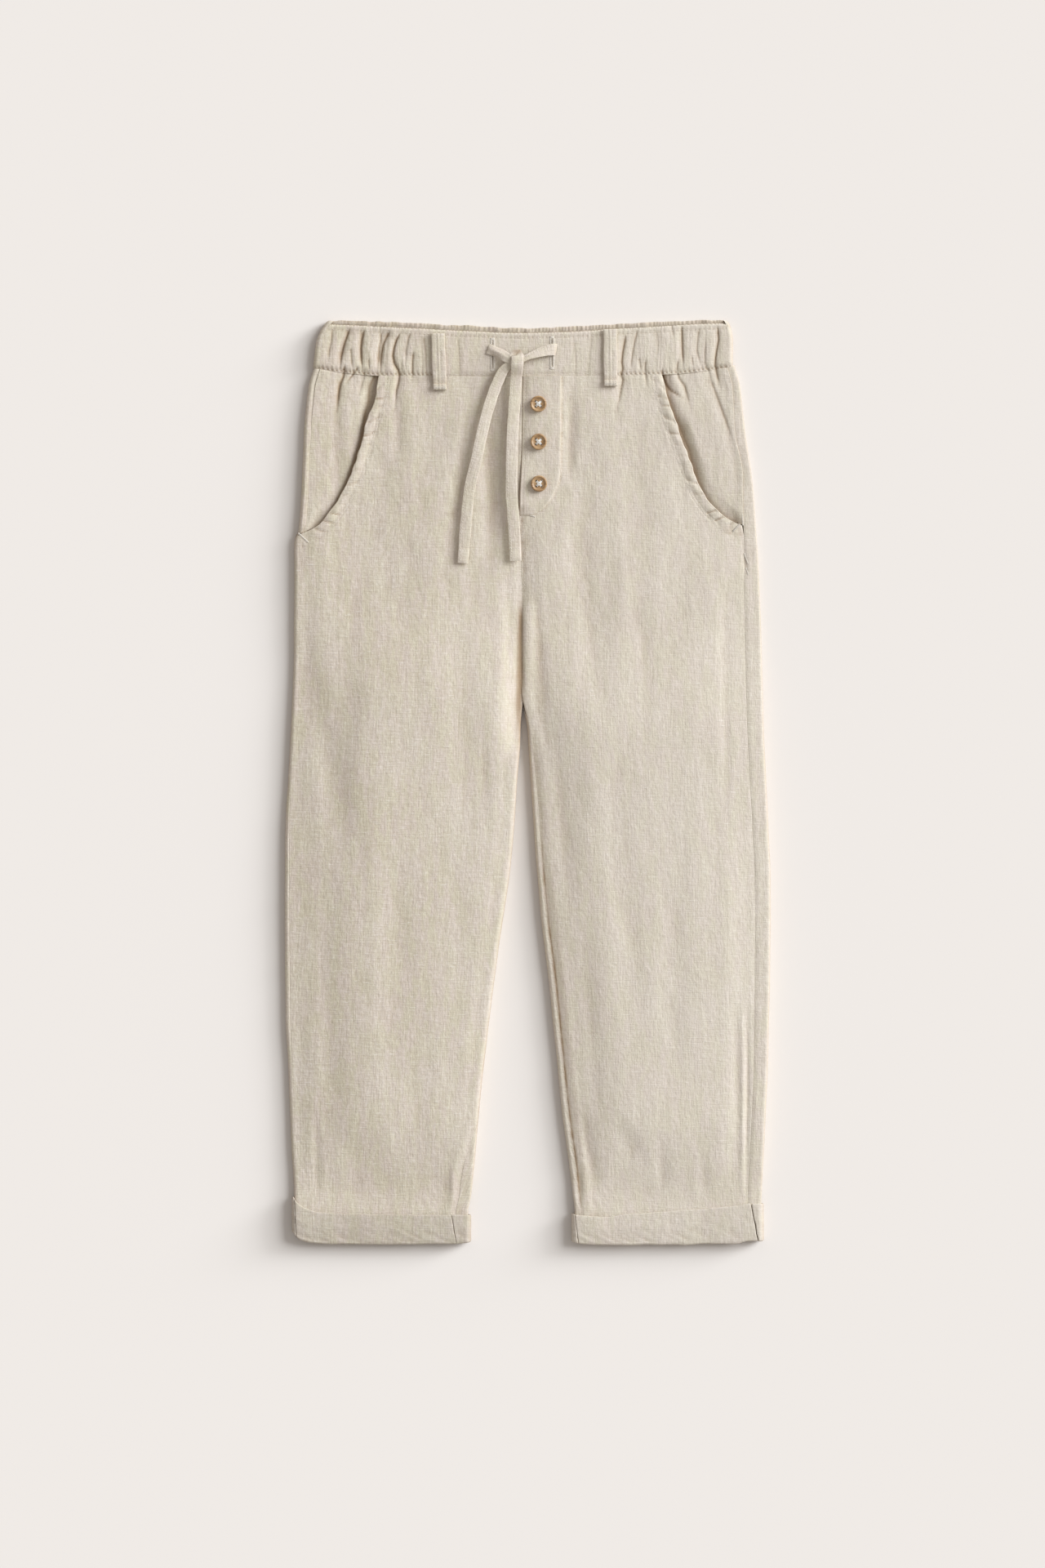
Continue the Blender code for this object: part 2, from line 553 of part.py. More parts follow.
def front_columns():
    """Shares across a front from its outer edge, closer together where the waist is gathered."""
    evenly = [i / FRONT_COLUMNS for i in range(FRONT_COLUMNS + 1)]
    return [share * mix(FRONT_CROWDING, 1.0, share) for share in evenly]


def front_grid(side, depth):
    """Points of a front panel, sunk depth below its outer face."""
    opening = pocket_points(side, POCKET_ROWS)[:-1]
    grid = []
    for i, (edge, edge_y) in enumerate(opening):
        centre_y = mix(WAIST_Y, POCKET_CENTRE_Y, i / POCKET_ROWS)
        row = []
        for share in front_columns():
            across = mix(edge, inseam(side, centre_y) + HALF_GAP, share)
            y = mix(edge_y, centre_y, share)
            if i == 0:
                y = waist_seam(side.sign * across) - HALF_GAP
            spot, height = over(side, across, y, depth)
            row.append((side.sign * spot, y, height))
        grid.append(row)
    for level in FRONT_ROWS:
        row = []
        for share in front_columns():
            y = mix(level.side, level.centre, share)
            begin, end = side_seam(side, y) - HALF_GAP, inseam(side, y) + HALF_GAP
            across = mix(begin, end, share)
            spot, height = over(side, across, y, depth)
            row.append((side.sign * spot, levelled(side, across, y), height))
        grid.append(row)
    return grid


def back_grid(side, depth):
    """Points of a back panel: from the side seam round the outer edge, under the leg, and round its
    inner edge to the inseam."""
    grid = []
    for y in BACK_ROWS:
        radius = leg_radius(y)
        seam, start = side_seam(side, y) + HALF_GAP, side.outer(y) - radius
        row = []
        for i in range(WRAP_COLUMNS):
            across = mix(seam, start + math.pi * radius, i / WRAP_COLUMNS)
            row.append(over(side, across, y, depth))
        closed = side.closed(y)
        plain = (1.0 - closed) * TORSO_PLAIN
        turn = closed * (math.pi - inner_angle(side, y))
        beyond = closed * max(0.0, side.inner_wrap(y) - radius)
        begin = inner_begin(side, y)
        row += [(mix(start, begin + plain, share), lift(y) + depth) for share in FLAT_COLUMNS]
        length = plain + radius * turn + beyond - HALF_GAP * closed
        for i in range(WRAP_COLUMNS + 1):
            run = length * i / WRAP_COLUMNS
            angle = (run - plain) / radius
            reach = radius - depth
            if run <= plain:
                row.append((begin + plain - run, lift(y) + depth))
            elif angle <= turn:
                row.append((begin - reach * math.sin(angle), lift(y) + radius - reach * math.cos(angle)))
            else:
                row.append((begin + run - plain - radius * turn, lift(y) + radius + reach))
        grid.append([(side.sign * spot, levelled(side, spot, y), height) for spot, height in row])
    return grid


def make_leg_panels(look):
    for side in SIDES.values():
        wall(f"front_{side.name}", front_grid(side, 0.0), front_grid(side, CLOTH), look)
        wall(f"back_{side.name}", back_grid(side, 0.0), back_grid(side, CLOTH), look)


# ---------------------------------------------------------------- pocket bearers


def beyond_opening(side, across, y):
    """Distance outside a pocket opening's edge, negative under the front."""
    here = Vector((across, y))
    nearest = min(
        (here - a - (b - a) * min(1.0, max(0.0, (here - a).dot(b - a) / (b - a).length_squared))).length
        for a, b in zip(side.pocket, side.pocket[1:])
    )
    return nearest if across > pocket_edge(side, y) and y > side.pocket[-1].y else -nearest


def pocket_edge(side, y):
    spots = side.pocket
    for a, b in zip(spots, spots[1:]):
        if b.y <= y <= a.y:
            return mix(a.x, b.x, (a.y - y) / (a.y - b.y))
    return spots[0].x if y > spots[0].y else spots[-1].x


def bearer_height(side, across, y):
    """Top face of a pocket bearer: level with the side seam in the opening, and under the front past it."""
    covered = smooth((SINK_START - beyond_opening(side, across, y)) / SINK_RUN)
    shown = edge_rise(y) - panel_gather(side, across, y)
    return mix(shown, front_height(side, across, y) - CLOTH - POCKET_SINK, covered)


def bearer_grid(side, depth):
    grid = []
    for y in BACK_ROWS[:BEARER_ROWS]:
        seam = side_seam(side, y) - HALF_GAP
        if y < POCKET_FOOT_Y:
            seam -= POCKET_FOOT_INSET
        inside = pocket_edge(side, y) - UNDERLAP
        row = []
        for i in range(BEARER_COLUMNS + 1):
            across = mix(seam, inside, i / BEARER_COLUMNS)
            height = bearer_height(side, across, y) - depth
            row.append((side.sign * across, levelled(side, across, y), height))
        grid.append(row)
    return grid


def make_bearers(look):
    for side in SIDES.values():
        wall(f"pocket_bearer_{side.name}", bearer_grid(side, 0.0), bearer_grid(side, CLOTH), look)


# ---------------------------------------------------------------- waistband

Profile = namedtuple("Profile", "share out into")  # share up the band, its outer and inner face
BAND_PROFILE = (
    Profile(0.0, 0.7, BAND_WALL_EDGE), Profile(0.06, 0.1, BAND_WALL), Profile(0.5, -BAND_BULGE, BAND_WALL),
    Profile(0.94, 0.1, BAND_WALL), Profile(1.0, 0.8, BAND_WALL_EDGE),
)


def band_side(x):
    return SIDES["right"] if x < 0 else SIDES["left"]


def band_start(side, y):
    """Where the band starts to turn round its folded end."""
    return side.sign * side.band_x(y) - BAND_RADIUS


def band_seam(side, y):
    """Where the side seam crosses the band."""
    return seam_place(side.sign * side.band_x(y), side.band_wrap(y), BAND_RADIUS)


def band_height(x, y):
    """Top face of the front band over the surface, without its bulge."""
    from_end = band_seam(band_side(x), y) - abs(x)
    return BAND_RISE - gather_depth(x, y) * smooth(from_end / GATHER_FADE)


def band_over(side, across, y, top, depth):
    """A point of the band, which carries on round both ends of the waist."""
    start = band_start(side, y)
    if across <= start:
        return side.sign * across, top - depth
    angle = (across - start) / BAND_RADIUS
    reach = BAND_RADIUS - depth
    return side.sign * (start + reach * math.sin(angle)), BAND_RADIUS + reach * math.cos(angle)


def band_front_grid(face):
    top = curve(BAND_TOP_FRONT, "x", "y")
    shares = []
    for stretch, following in zip(BAND_COLUMNS, BAND_COLUMNS[1:]):
        shares += [mix(stretch.start, following.start, i / stretch.count) for i in range(stretch.count)]
    shares.append(BAND_COLUMNS[-1].start)
    grid = []
    for profile in BAND_PROFILE:
        row = []
        for share in shares:
            side = band_side(share)
            level = mix(BAND_END_LOW_Y, BAND_END_HIGH_Y, profile.share)
            for _ in range(2):  # the end seam and the level depend on each other
                across = abs(share) * (band_seam(side, level) - HALF_GAP)
                x = side.sign * across
                level = mix(waist_seam(x) + HALF_GAP, top(x), profile.share)
            gathered = band_height(x, level) if face == "out" else BAND_RISE  # the inside stays plain
            spot, height = band_over(side, across, level, gathered, getattr(profile, face))
            row.append((spot, level, height))
        grid.append(row)
    return grid


def band_back_grid(face):
    top = curve(BAND_TOP_BACK, "x", "y")
    grid = []
    for profile in BAND_PROFILE:
        depth = max(0.0, getattr(profile, face))
        y = mix(BAND_END_LOW_Y, BAND_END_HIGH_Y, profile.share)
        ends = []
        for side in SIDES.values():
            seam, under = band_seam(side, y) + HALF_GAP, band_start(side, y) + math.pi * BAND_RADIUS
            across = [mix(seam, under, i / WRAP_COLUMNS) for i in range(WRAP_COLUMNS + 1)]
            ends.append([band_over(side, spot, y, BAND_RISE, depth) for spot in across])
        first, last = ends[0][-1][0], ends[1][-1][0]
        middle = [(mix(first, last, share), depth) for share in BAND_BACK_COLUMNS]
        row = ends[0] + middle + ends[1][::-1]
        grid.append([(x, mix(waist_seam(x) + HALF_GAP, top(x), profile.share), z) for x, z in row])
    return grid


def make_waistband(look):
    wall("waistband_front", band_front_grid("out"), band_front_grid("into"), look)
    wall("waistband_back", band_back_grid("out"), band_back_grid("into"), look)


# ---------------------------------------------------------------- turn-ups


def turn_up_profile():
    """Rows of a turn-up: the plate, the bottom fold and the lip. Each gives how far it lies between the
    upper edge and the fold, how far below the fold's centre, and the depths of its two faces."""
    outside = [(0.0, 0.0, 0.0), (0.5, 0.0, 0.0)]
    inside = [(0.0, 0.0, CLOTH), (0.5, 0.0, CLOTH)]
    inner_radius = TURN_RADIUS - CLOTH
    for i in range(FOLD_STEPS + 1):
        angle = math.pi * i / FOLD_STEPS
        outside.append((1.0, -TURN_RADIUS * math.sin(angle), TURN_RADIUS * (1 - math.cos(angle))))
        inside.append((1.0, -inner_radius * math.sin(angle), TURN_RADIUS - inner_radius * math.cos(angle)))
    outside.append((1.0, TURN_LIP, 2 * TURN_RADIUS))
    inside.append((1.0, TURN_LIP, 2 * TURN_RADIUS - CLOTH))
    return outside, inside


def cuff_rows(side, stations, rows):
    """Grid of a turn-up from stations round its tube, each a function of the depth inside its face."""
    radius = CUFF_RISE / 2
    grid = []
    for share, drop, depth in rows:
        row = []
        for station in stations:
            spot, height = station(radius, depth)
            x = side.sign * station(radius, 0.0)[0]
            fold = side.hem_bottom(x) + TURN_RADIUS
            row.append((side.sign * spot, mix(side.hem_top(x), fold, share) + drop, height))
        grid.append(row)
    return grid


def cuff_stations(side):
    """Stations of the front and of the back half of a turn-up."""
    edges = CUFF_EDGES[side.name]
    inner, outer = side.sign * edges["inner"], side.sign * edges["outer"]
    radius = CUFF_RISE / 2
    outer_seam = seam_place(outer, edges["outer_wrap"], radius)
    inner_seam = -seam_place(-inner, edges["inner_wrap"], radius)

    def top(across):
        def station(r, depth):
            if across > outer - r:
                angle = (across - outer + r) / r
                return outer - r + (r - depth) * math.sin(angle), r + (r - depth) * math.cos(angle)
            if across < inner + r:
                angle = (inner + r - across) / r
                return inner + r - (r - depth) * math.sin(angle), r + (r - depth) * math.cos(angle)
            return across, 2 * r - depth

        return station

    def bottom(across):
        return lambda r, depth: (across, depth)

    front = [top(mix(outer_seam - HALF_GAP, inner_seam + HALF_GAP, share)) for share in TURN_UP_COLUMNS]
    outer_under, inner_under = outer - radius + math.pi * radius, inner + radius - math.pi * radius
    turns = [i / TURN_UP_WRAP for i in range(TURN_UP_WRAP + 1)]
    back = [top(mix(outer_seam + HALF_GAP, outer_under, share)) for share in turns[:-1]]
    back += [bottom(mix(outer - radius, inner + radius, share)) for share in FLAT_COLUMNS]
    back += [top(mix(inner_under, inner_seam - HALF_GAP, share)) for share in turns]
    return {"front": front, "back": back}


def make_turn_ups(look):
    outside, inside = turn_up_profile()
    for side in SIDES.values():
        for part, stations in cuff_stations(side).items():
            name = f"turn_up_{part}_{side.name}"
            wall(name, cuff_rows(side, stations, outside), cuff_rows(side, stations, inside), look)


# ---------------------------------------------------------------- fly, loops, buttons, drawstring


def top_of_cloth(x, y):
    """Outer face of the front as it lies: the band above the waist seam, the fronts below it."""
    if y > waist_seam(x):
        return band_height(x, y) + BAND_BULGE
    side = SIDES["right"] if x < centre_seam(y) else SIDES["left"]
    return front_height(side, side.sign * x, y)


def highest_near(x, y, reach):
    steps = (-1.0, -0.5, 0.0, 0.5, 1.0)
    return max(top_of_cloth(x + i * reach, y + j * reach) for i in steps for j in steps)


def make_fly(look):
    faces = []
    for rise in (SEAM_GAP + FLY_CLOTH, SEAM_GAP):
        grid = []
        for jay in FLY_EDGE:
            begin = centre_seam(jay.y) + 2 * SEAM_GAP
            row = []
            for i in range(FLY_COLUMNS + 1):
                x = mix(begin, jay.right, i / FLY_COLUMNS)
                row.append((x, jay.y, top_of_cloth(x, jay.y) + rise))
            grid.append(row)
        faces.append(grid)
    wall("fly_placket", faces[0], faces[1], look)


def make_loops(look):
    for name, (top, bar) in LOOPS.items():
        faces = []
        for face in (1, 0):
            grid = []
            for share in LOOP_SHARES:
                x, y = mix(top.x, bar.x, share), mix(top.y, bar.y, share)
                thick = LOOP_BAR_CLOTH if y < bar.y + LOOP_BAR else LOOP_CLOTH
                ground = highest_near(x, y, LOOP_WIDTH / 2) + SEAM_GAP
                row = []
                for step in (-1.0, -0.5, 0.0, 0.5, 1.0):
                    arch = LOOP_ARCH * (1.0 - step * step)
                    row.append((x + step * LOOP_WIDTH / 2, y, ground + arch + face * thick))
                grid.append(row)
            faces.append(grid)
        wall(f"belt_loop_{name}", faces[0], faces[1], look)


def turned(name, profile, radius, height):
    """A closed solid turned about Z from its profile."""
    bm = bmesh.new()
    rings = []
    for point in profile:
        ring = []
        for i in range(BUTTON_SIDES):
            angle = 2 * math.pi * i / BUTTON_SIDES
            x, y = math.cos(angle) * point.radius * radius, math.sin(angle) * point.radius * radius
            ring.append(bm.verts.new((x, y, point.height * height)))
        rings.append(ring)
    bm.faces.new(rings[0][::-1])
    bm.faces.new(rings[-1])
    for below, above in zip(rings, rings[1:]):
        for i in range(BUTTON_SIDES):
            k = (i + 1) % BUTTON_SIDES
            bm.faces.new((below[i], below[k], above[k], above[i]))
    data = bpy.data.meshes.new(name)
    bm.to_mesh(data)
    bm.free()
    return data


def drills(name, location):
    """The four holes of a button, as cylinders that cut it."""
    bm = bmesh.new()
    radius, depth = BUTTON_HOLE_RADIUS * MM, 3 * BUTTON_HEIGHT * MM
    for across in (-1, 1):
        for up in (-1, 1):
            drilled = bmesh.ops.create_cone(
                bm, cap_ends=True, segments=8, radius1=radius, radius2=radius, depth=depth
            )
            place = Vector((across * BUTTON_HOLE_PLACE, up * BUTTON_HOLE_PLACE, 0.0)) * MM
            bmesh.ops.translate(bm, verts=drilled["verts"], vec=place)
    data = bpy.data.meshes.new(name)
    bm.to_mesh(data)
    bm.free()
    made = bpy.data.objects.new(name, data)
    bpy.context.scene.collection.objects.link(made)
    made.location = location
    made.hide_render = True
    made.display_type = "WIRE"
    return made


def make_button(name, spot, look):
    """A turned button with a raised rim, a dished middle and four holes."""
    ground = highest_near(spot.x, spot.y, BUTTON_RADIUS) + 2 * SEAM_GAP + FLY_CLOTH
    made = add_object(name, turned(name, BUTTON_PROFILE, BUTTON_RADIUS * MM, BUTTON_HEIGHT * MM), look)
    made.location = (spot.x * MM, spot.y * MM, ground * MM)
    cut = made.modifiers.new("holes", "BOOLEAN")
    cut.operation = "DIFFERENCE"
    cut.object = drills(f"{name}_drill", made.location)


def tape_stations(points):
    """Cross-sections along a tape, read from a smooth curve through its points."""
    runs = [0.0]
    for a, b in zip(points, points[1:]):
        runs.append(runs[-1] + math.dist(a[:3], b[:3]))
    Run = namedtuple("Run", ("run",) + Tape._fields)
    rows = [Run(run, *point) for run, point in zip(runs, points)]
    reads = [curve(rows, "run", field) for field in Tape._fields]
    stops = []
    for a, b in zip(runs, runs[1:]):
        count = max(1, round((b - a) / TAPE_STEP))
        stops += [mix(a, b, i / count) for i in range(count)]
    stops.append(runs[-1])
    return [Tape(*(read(stop) for read in reads)) for stop in stops]


def make_tape(name, points, look):
    """A flat tape: a rectangular section, turned about its route by each station's roll."""
    stations = tape_stations(points)
    upper, lower = [], []
    for i, station in enumerate(stations):
        before, after = stations[max(0, i - 1)], stations[min(len(stations) - 1, i + 1)]
        ahead = Vector((after.x - before.x, after.y - before.y, after.z - before.z)).normalized()
        flat = Vector((-ahead.y, ahead.x, 0.0)).normalized()
        if flat.x < 0:
            flat.negate()
        rise = flat.cross(ahead) if flat.cross(ahead).z > 0 else ahead.cross(flat)
        roll = math.radians(station.roll)
        sideways = flat * math.cos(roll) + rise * math.sin(roll)
        up = rise * math.cos(roll) - flat * math.sin(roll)
        centre = Vector((station.x, station.y, station.z))
        sides = [centre + sideways * (share * station.width / 2) for share in (-1.0, 0.0, 1.0)]
        upper.append([side + up * station.thick / 2 for side in sides])
        lower.append([side - up * station.thick / 2 for side in sides])
    wall(name, upper, lower, look)


def make_knot(look):
    bm = bmesh.new()
    bmesh.ops.create_uvsphere(bm, u_segments=14, v_segments=8, radius=1.0)
    for vert in bm.verts:
        squared = [math.copysign(abs(c) ** KNOT_SQUARENESS, c) for c in vert.co]
        place = [centre + half * c for centre, half, c in zip(KNOT_CENTRE, KNOT_HALF, squared)]
        vert.co = Vector(place) * MM
    data = bpy.data.meshes.new("drawstring_knot")
    bm.to_mesh(data)
    bm.free()
    data.shade_smooth()
    add_object("drawstring_knot", data, look)


def main():
    clear_scene()
    linen = material("linen", LINEN)
    tape_linen = material("tape_linen", TAPE_LINEN)
    wood = material("button_wood", BUTTON_WOOD)
    make_leg_panels(linen)
    make_bearers(linen)
    make_waistband(linen)
    make_turn_ups(linen)
    make_fly(linen)
    make_loops(linen)
    for number, spot in enumerate(BUTTONS, start=1):
        make_button(f"button_{number}", spot, wood)
    for name, points in DRAWSTRING.items():
        make_tape(name, points, tape_linen)
    make_knot(tape_linen)


main()
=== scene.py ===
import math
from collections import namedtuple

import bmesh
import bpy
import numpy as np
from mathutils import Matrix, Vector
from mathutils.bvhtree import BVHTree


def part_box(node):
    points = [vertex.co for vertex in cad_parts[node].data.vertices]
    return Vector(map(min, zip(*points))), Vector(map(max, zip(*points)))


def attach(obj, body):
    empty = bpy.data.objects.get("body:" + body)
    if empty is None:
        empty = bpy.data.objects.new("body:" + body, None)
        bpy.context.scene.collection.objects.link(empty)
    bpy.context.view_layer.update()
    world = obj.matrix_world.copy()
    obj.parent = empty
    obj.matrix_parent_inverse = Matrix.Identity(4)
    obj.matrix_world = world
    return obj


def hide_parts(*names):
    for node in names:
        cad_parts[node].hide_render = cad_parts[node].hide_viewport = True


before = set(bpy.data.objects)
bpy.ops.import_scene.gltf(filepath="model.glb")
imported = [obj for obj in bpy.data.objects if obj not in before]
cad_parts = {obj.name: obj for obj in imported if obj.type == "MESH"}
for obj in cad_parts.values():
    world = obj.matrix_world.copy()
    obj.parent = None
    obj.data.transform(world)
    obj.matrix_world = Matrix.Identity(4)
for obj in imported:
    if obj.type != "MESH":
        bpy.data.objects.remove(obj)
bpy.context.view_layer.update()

# Child's linen drawstring trousers, laid flat on a pale floor with the front up.
#
# The frame is the part's own: +X to the wearer's left, +Y up to the waist, +Z off the floor. Sizes and
# tables are in millimetres, and meshes are written in metres. Each cloth piece is a thin shell on the form
# of the CAD solid that it replaces, worked out by the same functions with finer folds. Places across a leg
# are counted outward from the garment's middle, so a folded outer edge is at the larger number.

MM = 0.001

# ---------------------------------------------------------------- sizes

# Most repeat the part's source. Here the legs part lower, seams lie closer, and the edges of the legs and
# of the band are drawn finer.

SHELL = 0.7  # cloth as it shows
HEMMED = 1.2  # cloth folded double at an edge
EDGE_RISE = 5.0
CROWN = 1.3
WAIST_PUFF = 0.6
SIDE_SWELL = 22.0
INNER_SWELL = 16.0
WAIST_SWELL = 26.0
CUFF_SWELL = 30.0
FLY_FOOT_Y = 160.0
FLY_SWELL = 28.0
GATHER_FADE = 6.0
BAND_WALL = 2.6
BAND_RISE = 5.8
BAND_RADIUS = BAND_RISE / 2
BAND_BULGE = 0.3
BAND_CORNER = 2.6
CUFF_RISE = 7.2
WAIST_Y = 279.2
CROTCH_START_Y = 72.0  # the legs part softly between these levels
CROTCH_END_Y = 36.0
CROTCH_LAP = 1.3  # how far the fronts run on under the backs where their seams part
PARTING_START_Y = 66.0  # and here floor starts to show between them
PARTING_END_Y = 34.0
CUFF_START_Y = -268.0
CUFF_FULL_Y = -288.0
BAND_END_LOW_Y = 283.2
BAND_END_HIGH_Y = 316.0
TURN_RADIUS = 1.5
TURN_LIP = 3.0
TURN_GAP = 1.2
LEG_SINK = 1.8
UNDERLAP = 14.0
FRONT_WALL = 1.2  # the CAD front's wall, which the bearer stays under
POCKET_SINK = 0.7
SINK_START = 9.0
SINK_RUN = 8.0
FLY_CLOTH = 1.0
LAYER_GAP = 0.3
SEAM_HALF = -0.02  # panels just meet at the bottom of their seams
SEAM_DEPTH = 0.16  # how far the cloth sinks beside a seam
SEAM_WIDTH = 1.6
LAST_ROW_Y = -311.0
LEG_ROW = 3.0  # pitch of a front's rows down the leg
TUCK = ((1.4, 1.5), (0.6, 0.7), (0.0, 0.16), (-0.3, 0.03))  # rows at the waist seam: above it, sunk
ROWS_CURVE_Y = 238.0
ROWS_TO_HEM = 20.0


def table(row, *values):
    """Rows of a table of numbers, each as a named tuple."""
    return tuple(row(*each) for each in values)


Edge = namedtuple("Edge", "y outer wrap")
Inner = namedtuple("Inner", "y inner wrap")
Spot = namedtuple("Spot", "x y")
Fold = namedtuple("Fold", "x0 y0 x1 y1 width depth")
Pleat = namedtuple("Pleat", "width depth route")
Hem = namedtuple("Hem", "x top bottom")
Jay = namedtuple("Jay", "y right")
Level = namedtuple("Level", "side centre")
Tape = namedtuple("Tape", "x y z width roll crease")
Cuff = namedtuple("Cuff", "inner outer inner_top inner_low outer_top outer_low slit")

OUTER_RIGHT = table(
    Edge, (286, -144.8, 4.2), (277, -147.6, 4.4), (268, -150.4, 4.6), (240, -153.6, 4.8),
    (212, -154.8, 4.5), (190, -156, 4.8), (178, -157, 4.6), (173.5, -157.6, 3.2), (171.2, -158.6, 0.9),
    (169, -159.6, 0.8), (163, -160.3, 0.7), (100, -160.4, 0.5), (33, -162.7, 0.8), (0, -164.8, 1.8),
    (-23, -166.2, 2.6), (-60, -166.5, 3.1), (-90, -166.6, 3.3), (-160, -166.2, 3.2), (-190, -164.6, 2.4),
    (-215, -163.6, 1.2), (-246, -162.4, 0.9), (-286, -160.2, 0.8), (-320, -160, 0.8),
)
OUTER_LEFT = table(
    Edge, (286, 140.4, 5), (277, 142.8, 5.2), (268, 145.4, 5.4), (240, 149.2, 7), (216, 153.2, 6),
    (200, 155, 7.4), (168, 157.2, 9), (123, 159.9, 11), (61, 161.4, 11.6), (16, 162.8, 11.6),
    (-23, 165, 11.4), (-68, 166.4, 11.2), (-135, 165.9, 10.6), (-190, 164.5, 10), (-246, 162.6, 9.8),
    (-290, 160.6, 9.6), (-320, 160.3, 9.6),
)
CENTRE = table(
    Spot, (-3.8, 290), (-4, 240), (-5.8, 190), (-4.8, 156), (-3.9, 124),
)
INNER_RIGHT = table(
    Inner, (118, -5, 0), (72, -4.8, 0), (33, -5.2, 0), (0, -7.6, 0), (-45, -10.6, 0), (-107, -19, 0),
    (-143, -24, 0), (-191, -29.6, 0), (-225, -33.2, 0.2), (-247, -35.4, 4), (-268, -37.4, 7.6),
    (-284, -39.2, 8), (-293, -41, 8), (-320, -41.2, 8),
)
INNER_LEFT = table(
    Inner, (118, -2.8, 0), (72, -2, 1), (33, 0, 2.6), (0, 2, 3.8), (-40, 4.8, 4.4), (-84, 8.2, 4.8),
    (-135, 14.2, 5), (-185, 19.6, 4.7), (-230, 24.2, 4.9), (-263, 28.8, 4.9), (-284, 31.2, 4.5),
    (-293, 32.2, 4.5), (-320, 32.4, 4.5),
)
WAIST_SEAM = table(
    Spot, (-150, 285), (-132, 282.4), (-99, 279.8), (-3.6, 279.2), (97, 280.6), (145, 285.6),
)
BAND_TOP_FRONT = table(
    Spot, (-141, 315), (-70, 311.8), (0, 308.8), (70, 312.4), (138, 315.6),
)
BAND_TOP_BACK = table(
    Spot, (-139, 317.6), (-70, 315.6), (0, 312.4), (70, 315.8), (136, 317.8),
)
BAND_EDGE_RIGHT = table(
    Edge, (319, -135.4, 3.6), (315, -139.4, 4.2), (310, -142.8, 4.3), (303, -145.2, 4.4),
    (284, -147.4, 4.6),
)
BAND_EDGE_LEFT = table(
    Edge, (319, 135.2, 2.4), (315, 138.6, 3), (303, 140.9, 3.4), (284, 140.7, 3.6),
)
POCKET_RIGHT = table(
    Spot, (-102.2, 280.4), (-105.4, 262), (-109.4, 252), (-114.6, 233.2), (-119.6, 217), (-127.6, 199.2),
    (-134.4, 188.6), (-143.2, 178.4), (-150.4, 173.6), (-155, 171.6), (-158, 170.3),
)
POCKET_LEFT = table(
    Spot, (92, 281), (97.2, 261.2), (104.4, 240), (111.6, 220.6), (115.8, 208.6), (121.8, 197.2),
    (130.2, 187.3), (138.8, 180.9), (144.4, 178), (148.4, 176.4),
)
HEM_RIGHT = table(
    Hem, (-162, -283, -308.2), (-157.2, -288.4, -312.4), (-152, -291.4, -314.2), (-143.6, -293.6, -315.2),
    (-121, -294.9, -316), (-52, -295.3, -315.6), (-38, -295.3, -314.6),
)
HEM_LEFT = table(
    Hem, (30, -294.6, -315), (36, -295.6, -315.6), (50, -296.6, -316.6), (64, -295.6, -316.9),
    (86, -293.8, -316.2), (114, -291.6, -315.6), (142, -289.4, -315.4), (151.5, -287.8, -313.4),
    (162.5, -288.2, -313.6),
)
FLY_EDGE = table(
    Jay, (278.8, 24.4), (262, 24.5), (246, 24.5), (230, 24.4), (216, 24), (207, 22.6), (199, 19.6),
    (192, 15.2), (187, 9.8), (183.6, 3.4),
)
BUTTONS = table(
    Spot, (7.2, 260), (7.4, 234.1), (7.7, 205.4),
)
LOOPS = {"right": (Spot(-61.7, 308.6), Spot(-60.2, 269.8)), "left": (Spot(56.4, 311.4), Spot(56.9, 272.4))}
LEVELS = table(
    Level, (170, 193), (163, 172), (152, 158), (140, 144), (129, 132), (115, 118), (102, 104), (83, 84),
    (60, 60), (-311, -311),
)

# ---------------------------------------------------------------- folds

